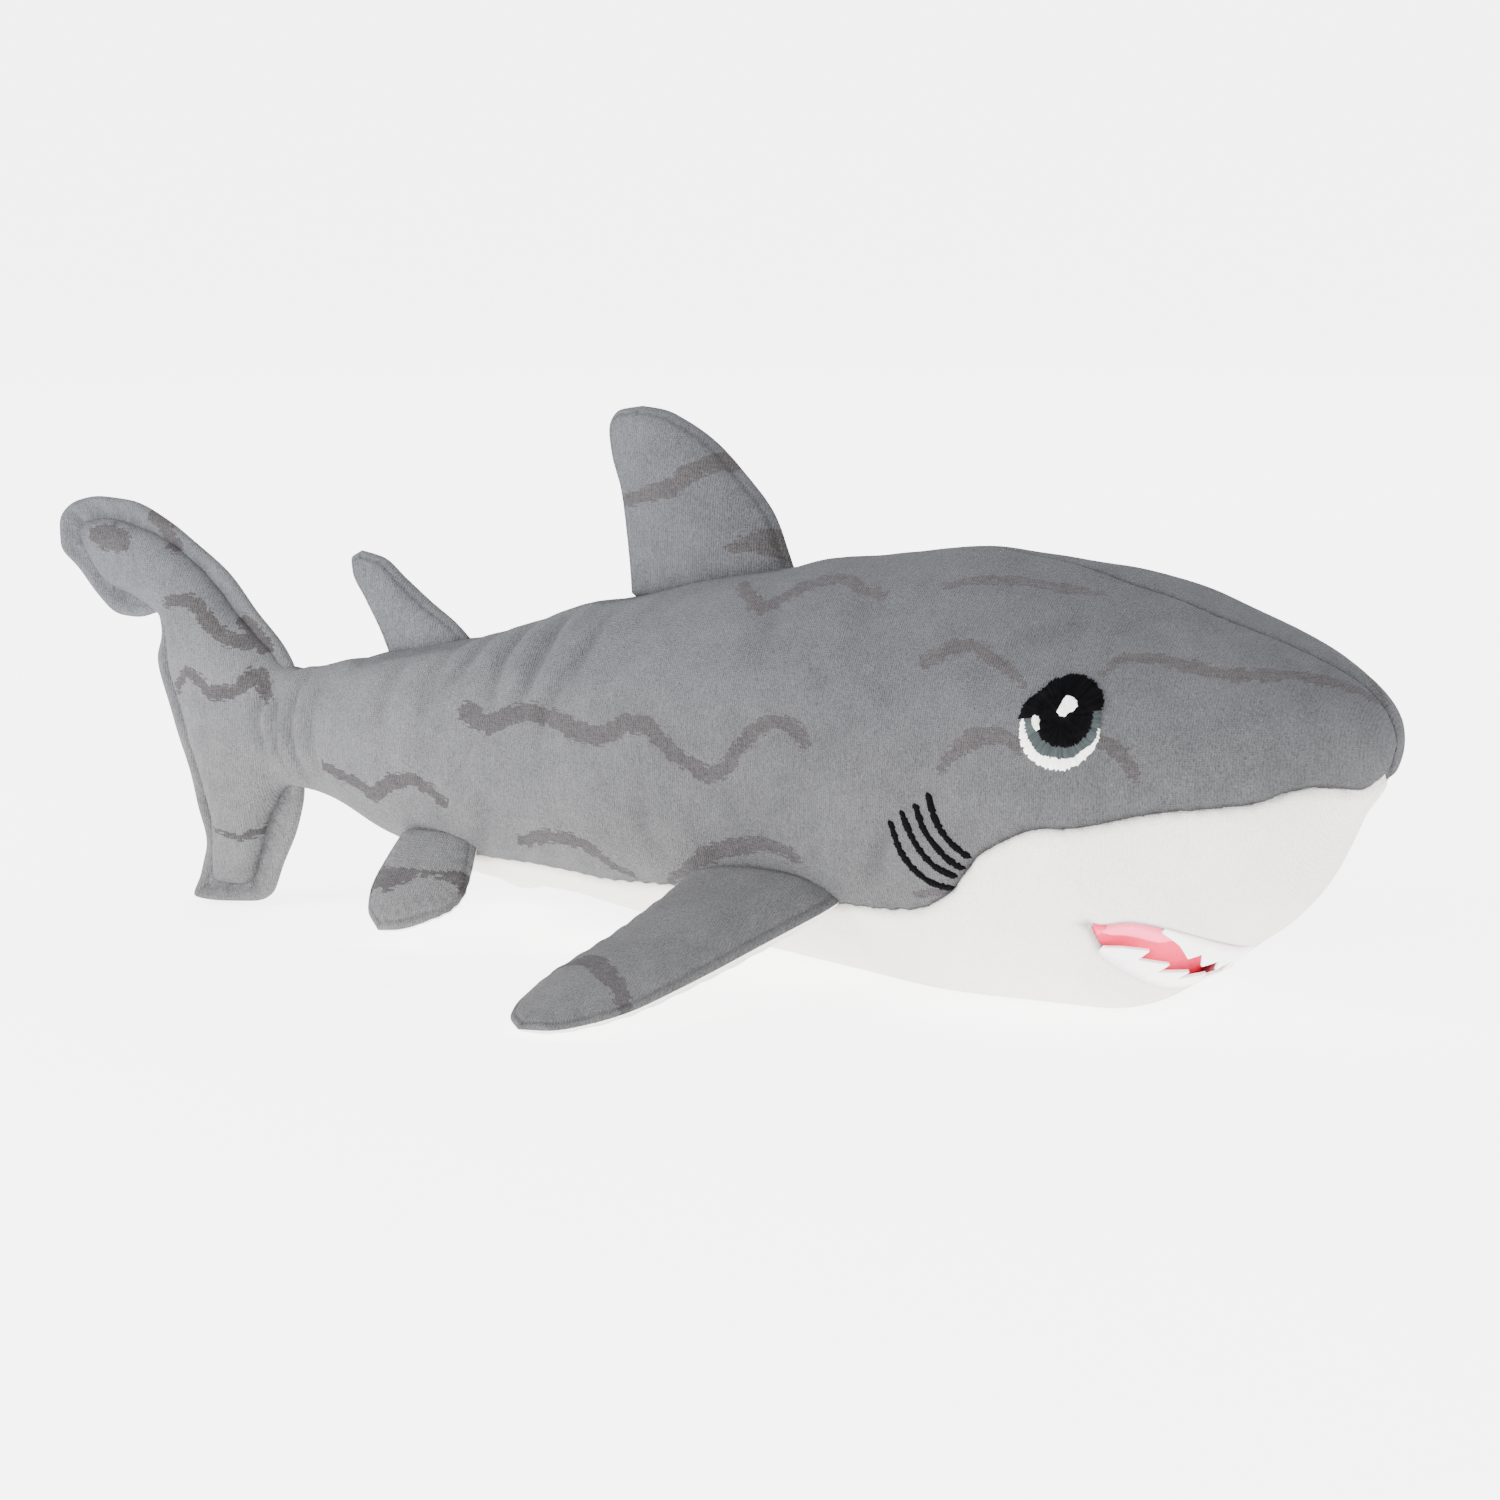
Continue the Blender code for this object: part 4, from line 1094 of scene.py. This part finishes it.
def stuff_by_simulation(obj, pins):
    """Puffs a closed cloth form with the Cloth simulation; no point moves further than the limit."""
    rest = mesh_points(obj.data)
    group = obj.vertex_groups.new(name="sewn")
    for index, weight in enumerate(pins):
        group.add([index], float(weight), "REPLACE")
    cloth = obj.modifiers.new("stuffing", "CLOTH")
    settings = cloth.settings
    settings.quality = 5
    settings.mass = 0.25
    settings.tension_stiffness = settings.compression_stiffness = 12
    settings.shear_stiffness = 6
    settings.bending_stiffness = 0.4
    settings.use_pressure = True
    settings.uniform_pressure_force = STUFFING_PRESSURE
    settings.vertex_group_mass = "sewn"
    settings.effector_weights.gravity = 0
    cloth.collision_settings.use_collision = False
    scene = bpy.context.scene
    for step in range(1, STUFFING_FRAMES + 1):
        scene.frame_set(step)
    graph = bpy.context.evaluated_depsgraph_get()
    puffed = mesh_points(obj.evaluated_get(graph).data)
    obj.modifiers.remove(cloth)
    obj.vertex_groups.remove(group)
    scene.frame_set(1)
    move = puffed - rest
    length = np.linalg.norm(move, axis=1)
    move *= np.minimum(1, PUFF_LIMIT / np.maximum(length, 1e-9))[:, None]
    move_points(obj.data, rest + move)


def make_fin(name, key, side, panel_names):
    """A stuffed fin: two panels of cloth that meet at its edge."""
    fin, joint = FINS[key], JOINTS[name]
    through = through_the_fin(fin, side)
    bm = fin_form(fin, side, through)
    finishes = [WHITE_PLUSH if word == "lower" else GREY_PLUSH for word in panel_names]
    form = mesh_object(name + "_form", bm, *finishes)
    drawn = mesh_points(form.data)
    move_points(form.data, to_frame(drawn))
    mirror = np.array([1, side, 1])
    edges = [dense(np.array(fin[edge]) * mirror, 60) for edge in ("rear", "front")]
    outline = np.concatenate([edges[0], edges[1][::-1]])
    gap, _ = nearest_on_line(drawn, outline)
    root_line = np.array([edges[0][0], edges[1][0]])
    root_gap, _ = nearest_on_line(drawn, root_line)
    stuff_by_simulation(form, np.maximum(bump(gap, 1.2), bump(root_gap, 5.0)))
    add_modifier(form, "SUBSURF", levels=1, render_levels=1)
    apply_modifiers(form)
    points = to_drawn(mesh_points(form.data))
    flat = points - (points - outline[0]) @ through[:, None] * through
    gap, along = nearest_on_line(flat, outline)
    normals = np.empty(len(points) * 3)
    form.data.vertices.foreach_get("normal", normals)
    normals = normals.reshape(-1, 3)
    pucker = np.sin(along * math.tau * EDGE_PUCKERS)
    sink = 0.45 * bump(gap - EDGE_SEAM, 0.55) * (1 + 0.3 * pucker)
    sink += 0.2 * pucker * bump(gap - 3.6, 1.8)
    root_gap, _ = nearest_on_line(flat, root_line)
    shade = 0.5 * bump(gap - EDGE_SEAM, 0.4) * ramp(root_gap, 2, 6) + 0.6 * bump(root_gap, 3.0)
    points += normals * (lumps(points + 31 * side, 22, 0.3) * ramp(gap, 1, 6) - sink)[:, None]
    move_points(form.data, to_frame(points))
    hinge = Vector(joint["pos_m"])
    tip = Vector(to_frame(np.array(fin["rear"][-1]) * mirror))
    axis = Vector(joint["axis"])
    out = (tip - hinge) - axis * (tip - hinge).dot(axis)
    out.normalize()
    for index, word in enumerate(panel_names):
        piece = bmesh.new()
        piece.from_mesh(form.data)
        drop = [face for face in piece.faces if face.material_index != index]
        bmesh.ops.delete(piece, geom=drop, context="FACES")
        for face in piece.faces:
            face.material_index = 0
        cloth = mesh_object(f"{name}_{word}_cloth", piece, finishes[index])
        kept = to_drawn(mesh_points(cloth.data))
        store(cloth, "painted_shade", shade[nearest_index(points, kept)])
        remember_place(cloth, kept)
        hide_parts(f"{name}_{word}", f"{name}_stuffing")
        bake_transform(cloth)
    bpy.data.objects.remove(form)


# ---------------------------------------------------------------- embroidery

EYE_CENTRE = (126.0, 77.0)
EYE_HUB = np.array([0.5, 1.5])         # the threads run out from here
DIRECTIONS = 720                       # in which an outline's distance from its hub is kept
# Outlines of the eye round its centre, in mm
LID_AND_PUPIL = (
    (-11.0, -0.3), (-10.6, 1.8), (-9.9, 3.7), (-6.8, 6.8), (-4.0, 9.3), (-0.8, 10.6), (2.3, 10.7),
    (5.1, 9.8),
    (7.9, 7.5), (9.1, 5.7), (9.8, 2.6), (8.3, 3.4), (7.6, 2.6), (7.9, -0.2), (7.2, -3.3), (5.1, -5.6),
    (2.0, -6.5), (-1.2, -6.2), (-4.3, -4.7), (-6.1, -2.6), (-7.1, -0.3), (-8.6, 0.9), (-9.9, 0.2),
)
IRIS = (
    (-9.8, 1.0), (-9.6, -0.1), (-9.2, -2.6), (-7.8, -5.2), (-6.4, -6.9), (-4.3, -8.4), (-0.8, -9.1),
    (2.0, -9.3), (4.8, -8.5), (7.2, -6.5), (9.0, -4.2), (9.5, -2.0), (9.4, 0.5), (8.9, 3.2), (5.0, 4.0),
    (-5.0, 3.0),
)
WHITE_RING = (
    (-10.7, -0.2), (-10.6, -3.0), (-9.9, -5.9), (-7.8, -8.7), (-5.0, -10.6), (-1.9, -11.6), (0.6, -11.8),
    (3.0, -11.6), (5.8, -10.1), (8.3, -7.7), (9.5, -5.1), (9.9, -2.0), (8.0, 1.0), (0.0, 2.0), (-8.0, 1.0),
)
GLINTS = (
    ((-0.5, 3.9), (0.3, 5.8), (1.1, 5.6), (1.8, 5.7), (3.2, 4.8), (3.8, 3.4), (3.0, 2.1), (1.6, 1.6),
     (1.4, 0.8), (0.0, 0.6), (-1.3, 1.6), (-0.9, 2.6)),
    ((-7.0, 0.6), (-6.3, 1.0), (-5.5, 0.8), (-4.8, -0.1), (-5.0, -1.2), (-4.4, -2.4), (-5.6, -2.7),
     (-6.6, -1.6), (-7.1, -0.5)),
)


def on_skin(tree, points, side, lift):
    """Points at x and z, laid on the skin from one side and lifted along its normal."""
    laid = []
    for (x, z), up in zip(points, lift):
        place, normal, _, _ = tree.ray_cast(Vector((x, side * 200, z)), Vector((0, -side, 0)))
        laid.append(place + normal * up)
    return np.array(laid)


def polar_reach(outline, hub, angles):
    """Distance of an outline from the hub in each direction."""
    ring = np.array(outline + outline[:1]) - hub
    fine = np.concatenate([a + (b - a) * np.linspace(0, 1, 12, endpoint=False)[:, None]
                           for a, b in zip(ring[:-1], ring[1:])])
    for _ in range(8):
        fine = (np.roll(fine, 1, 0) + fine + np.roll(fine, -1, 0)) / 3
    direction = np.arctan2(fine[:, 1], fine[:, 0])
    bins = np.round((direction + np.pi) / math.tau * DIRECTIONS).astype(int) % DIRECTIONS
    reach = np.full(DIRECTIONS, np.nan)
    for index, value in zip(bins, np.hypot(fine[:, 0], fine[:, 1])):
        reach[index] = value if np.isnan(reach[index]) else max(reach[index], value)
    known = np.flatnonzero(~np.isnan(reach))
    key = ((angles + np.pi) / math.tau * DIRECTIONS) % DIRECTIONS
    return np.interp(key, known, reach[known], period=DIRECTIONS)


def satin_patch(name, tree, side, outline, finish, height, base, hub, threads, seed, rows=12, rag=0.3):
    """A patch of satin stitch: threads run out from the hub to the outline, and dive into the cloth."""
    rng = np.random.default_rng(seed)
    ragged = rng.uniform(-rag, rag, threads)
    tint = rng.uniform(-0.5, 0.5, threads)
    around = 2 * threads

    def point(u, v):
        angle = math.tau * v
        which = np.round(v * around).astype(int) % around
        reach = polar_reach(outline, hub, (angle + np.pi) % math.tau - np.pi)
        reach = np.maximum(reach + ragged[which // 2 % threads], 0.2)
        out = u ** 0.8
        ridge = np.where(which % 2 == 0, 0.13, -0.13) * ramp(out, 0.15, 0.5)
        crown = np.sqrt(np.maximum(1 - out**7, 0))
        lift = base + (height + ridge) * crown - 0.35 * (out > 0.995)
        local = np.column_stack([np.cos(angle), np.sin(angle)]) * (reach * out)[:, None] + hub
        return on_skin(tree, local + EYE_CENTRE, side, lift)

    bm = face_along(weld(grid(point, rows, around), 1e-3), Vector((0, side, 0)))
    patch = mesh_object(name, bm, finish)
    local = mesh_points(patch.data)[:, ::2] - EYE_CENTRE - hub
    turn = np.arctan2(local[:, 1], local[:, 0]) / math.tau % 1
    which = np.round(turn * around).astype(int) % around
    # Each thread's own tone, with painted light on its raised half and painted shade on its sunk half.
    strand_tone_and_shade = patch.data.attributes.new("strand_tone_and_shade", "FLOAT", "POINT")
    strand_tone_and_shade.data.foreach_set("value", tint[which // 2 % threads] + np.where(which % 2 == 0, 0.25, -0.25))
    return settle(patch)


def make_eye(tree, side, word):
    """Three layers of satin stitch, one over another, and the two glints."""
    # node, outline, finish, slot, height of the stitches, height of the layer, and number of threads
    layers = (
        ("eye_white", WHITE_RING, WHITE_THREAD, "white_thread", 0.45, 0.10, 150),
        ("eye_iris", IRIS, SLATE_THREAD, "slate_thread", 0.45, 0.45, 150),
        ("eye_black", LID_AND_PUPIL, BLACK_THREAD, "black_thread", 0.55, 0.75, 160),
    )
    for seed, (node, outline, finish, slot, height, base, threads) in enumerate(layers):
        patch = satin_patch(f"{node}_thread_{word}", tree, side, outline, finish, height, base, EYE_HUB,
                            threads, seed)
        belongs(patch, slot, f"{node}_{word}")
    for number, outline in enumerate(GLINTS, 1):
        glint = satin_patch(f"eye_glint_thread_{word}_{number}", tree, side, outline, WHITE_THREAD, 0.30,
                            1.35, np.mean(outline, axis=0), 26, 9 + number, rows=6, rag=0.12)
        belongs(glint, "white_thread", f"eye_glint_{word}")


GILLS = (
    ((81, 49.5), (84, 42), (88, 37), (92.5, 34.2), (97, 33.2)),
    ((84.6, 52.5), (87, 46.8), (89.8, 42.2), (93.4, 38.8), (98.8, 36.4)),
    ((88.6, 54.5), (90.8, 48.2), (94, 44), (97, 41), (100.8, 38.6)),
    ((92, 57.5), (93.2, 53), (95, 49), (98, 45.3), (102.8, 41.6)),
)
GILL_HALF_WIDTH, GILL_STITCH = 0.95, 0.7
STITCH_SECTION = np.array([0.0, 1.0, 1.0, 0.35])     # four steps along the line for each stitch


def make_gill(tree, side, word, number, route):
    """A stitched line: short threads lie across it, slightly slanted and ragged at the ends."""
    line = line_through(route)
    length = np.linalg.norm(np.diff(dense(route, 60), axis=0), axis=1).sum()
    stitches = int(length / GILL_STITCH)
    steps = 4 * stitches
    rng = np.random.default_rng(20 + number)
    ragged = rng.uniform(0.72, 1.3, stitches + 1)

    def point(u, v):
        centre = line(v)
        ahead = line(np.clip(v + 0.01, 0, 1)) - line(np.clip(v - 0.01, 0, 1))
        ahead /= np.linalg.norm(ahead, axis=1)[:, None]
        normal = np.column_stack([-ahead[:, 1], ahead[:, 0]])
        across = 2 * u - 1
        step = np.round(v * steps).astype(int)
        width = GILL_HALF_WIDTH * ragged[np.minimum(step // 4, stitches)]
        end = np.minimum(1, np.minimum(v, 1 - v) * length / GILL_STITCH)
        flat = centre + normal * (across * width * np.sqrt(end))[:, None] + ahead * (across * 0.25)[:, None]
        crown = np.sqrt(np.maximum(1 - np.abs(across) ** 3, 0))
        lift = -0.15 + (0.62 + 0.22 * STITCH_SECTION[step % 4]) * crown * np.sqrt(end)
        return on_skin(tree, flat, side, lift)

    bm = face_along(weld(grid(point, 6, steps)), Vector((0, side, 0)))
    gill = settle(mesh_object(f"gill_thread_{word}_{number}", bm, BLACK_THREAD))
    belongs(gill, "black_thread", f"gill_{word}_{number}")


# ---------------------------------------------------------------- mouth

BAND_WIDTH, BAND_FROM, BAND_FULL = 4.2, 27, 35       # folded-out pink band towards each corner
BAND_STATIONS = (0.0, 0.16, 0.33, 0.42, 0.72, 1.0)   # hem, band, its edge, the tuck, the back, lower hem
LINING_ROWS, LINING_COLUMNS = 30, 80
LINING_HEM, LINING_PAST_CORNER = 3.6, 1.8            # how far it reaches behind the lips, unseen
LINING_SUNK, LINING_WALL = 1.6, 0.8
STRIP_ROWS, STRIP_HEM, STRIP_DEPTH, FELT_WALL = 6, 1.4, 0.6, 0.9


def lips_at(across):
    """Points of the upper and the lower lip at y."""
    upper_x, upper_z, lower_x, lower_z = np.moveaxis(mouth_lips(np.abs(across)), -1, 0)
    return np.column_stack([upper_x, across, upper_z]), np.column_stack([lower_x, across, lower_z])


def make_lining(tree):
    """The pink pocket, from under the upper lip to the back and out under the lower lip."""
    def point(u, v):
        beyond = (2 * v - 1) * (MOUTH_CORNER + LINING_PAST_CORNER)
        across = np.clip(beyond, -MOUTH_CORNER, MOUTH_CORNER)
        beyond = beyond - across
        upper, lower = lips_at(across)
        upper[:, 1] += beyond
        lower[:, 1] += beyond
        share = np.sqrt(np.maximum(1 - (across / MOUTH_CORNER) ** 2, 0))
        width = np.linalg.norm(lower - upper, axis=1)
        down = (lower - upper) / np.maximum(width, 0.1)[:, None]
        upper, lower = upper - down * LINING_HEM, lower + down * LINING_HEM
        folded = ramp(np.abs(across), BAND_FROM, BAND_FULL)
        deep = (2.6 + 3.4 * share)[:, None]
        back = (upper + lower) / 2 + INTO_MOUTH * deep
        back[:, 1] *= 0.94
        reach = LINING_HEM + np.minimum(BAND_WIDTH * folded, 0.5 * width)[:, None]
        lip = upper + INTO_MOUTH * 1.5
        band = upper + down * reach + INTO_MOUTH * (1.9 - 1.7 * folded)[:, None]
        tuck = band + INTO_MOUTH * 2.2 - down * 0.9
        turn = upper + down * (LINING_HEM + 0.3) + INTO_MOUTH * (1.6 - 1.5 * folded)[:, None]
        knots = np.stack([lip, turn, band, tuck, back, lower + INTO_MOUTH * 1.2])
        t = np.interp(u, BAND_STATIONS, np.arange(6))
        i = np.minimum(t.astype(int), 4)
        part = (t - i)[:, None]
        rows = np.arange(len(u))
        return knots[i, rows] * (1 - part) + knots[i + 1, rows] * part

    bm = grid(point, LINING_ROWS, LINING_COLUMNS)
    for vert, opening in zip(bm.verts, mouth_field(points_of(bm))):
        sunk = LINING_SUNK * float(ramp(-opening, -0.4, 0.9))
        place, normal, _, _ = tree.find_nearest(vert.co)
        lack = sunk - (place - vert.co).dot(normal)
        if sunk > 0 and lack > 0:
            vert.co -= normal * lack
    column, row = np.divmod(np.arange(len(bm.verts)), LINING_ROWS + 1)
    rows, columns = row / LINING_ROWS, column / LINING_COLUMNS
    lining = mesh_object("mouth_lining_cloth", face_along(bm, Vector((1, 0, 0))), PINK_PLUSH)
    folded = ramp(np.abs(2 * columns - 1) * MOUTH_CORNER, BAND_FROM, BAND_FULL)
    # Painted light on the folded-out band, and painted shade in the tuck below it.
    store(lining, "band", folded * (1 - ramp(rows, 0.28, 0.36)))
    store(lining, "painted_shade", bump(rows - 0.42, 0.05))
    settle(lining)
    give_wall(lining, LINING_WALL)
    apply_modifiers(lining)
    belongs(lining, "pink_lining", "mouth_lining_upper", "mouth_lining_lower")


# Toothed edge of each felt strip: y on the right half, and how far the strip reaches from its lip
LOWER_TEETH = (
    (-42.0, 0.6), (-39.5, 4.0), (-35.6, 7.9), (-35.0, 3.6), (-27.6, 7.4), (-27.0, 3.0), (-19.6, 7.8),
    (-18.6, 3.4), (-11.8, 8.2), (-10.6, 3.8), (-4.0, 8.6), (-2.6, 4.2), (0.0, 5.4),
)
UPPER_TEETH = (
    (-36.0, 0.4), (-30.0, 3.0), (-24.3, 6.6), (-22.0, 3.8), (-17.0, 8.2), (-12.5, 5.0), (-8.0, 9.5),
    (-4.0, 5.5), (0.0, 11.5),
)


def make_teeth(name, edge, use_upper, node):
    """A strip of felt along a lip, cut in points on its free edge."""
    knots = list(edge) + [(-y, reach) for y, reach in reversed(edge[:-1])]
    places = [knots[0]]
    for (y0, r0), (y1, r1) in zip(knots[:-1], knots[1:]):
        places += [(y0 + (y1 - y0) * t, r0 + (r1 - r0) * t) for t in (0.25, 0.5, 0.75, 1.0)]
    ys, reaches = np.array(places).T

    def point(u, v):
        index = np.round(v * (len(places) - 1)).astype(int)
        across, reach = ys[index], reaches[index]
        upper, lower = lips_at(across)
        width = np.maximum(np.linalg.norm(lower - upper, axis=1), 2.0)[:, None]
        down = (lower - upper) / width
        if use_upper:
            lip, way = upper, down
            lean = -0.10 * u * reach
        else:
            lip, way = lower, -down
            lean = -0.16 * np.sin(np.pi * 0.5 * u) * reach
        start = lip - way * STRIP_HEM + INTO_MOUTH * STRIP_DEPTH
        return start + way * ((STRIP_HEM + reach) * u)[:, None] + INTO_MOUTH * lean[:, None]

    bm = face_along(grid(point, STRIP_ROWS, len(places) - 1), Vector((1, 0, 0)))
    strip = mesh_object(name, bm, WHITE_FELT)
    share = np.arange(len(strip.data.vertices)) % (STRIP_ROWS + 1) / STRIP_ROWS
    # Painted shade at the strip's base, where it is sewn in.
    store(strip, "painted_shade", 0.8 * (1 - ramp(share, 0.0, 0.45)))
    settle(strip)
    give_wall(strip, FELT_WALL, offset=0)
    add_modifier(strip, "BEVEL", width=0.2 * MM, segments=2, limit_method="ANGLE")
    apply_modifiers(strip)
    belongs(strip, "white_felt", node)


# ---------------------------------------------------------------- build

def build():
    studio()
    tree = make_skin()
    make_tail_rim()
    make_fin("dorsal_fin", "dorsal_fin", 1, ("left", "right"))
    make_fin("rear_dorsal_fin", "rear_dorsal_fin", 1, ("left", "right"))
    for side, word in SIDES:
        make_fin(f"pectoral_{word}", "pectoral", side, ("upper", "lower"))
        make_fin(f"pelvic_{word}", "pelvic", side, ("upper", "lower"))
        make_eye(tree, side, word)
        for number, route in enumerate(GILLS, 1):
            make_gill(tree, side, word, number, route)
    make_lining(tree)
    make_teeth("teeth_upper_felt", UPPER_TEETH, True, "teeth_upper")
    make_teeth("teeth_lower_felt", LOWER_TEETH, False, "teeth_lower")


build()
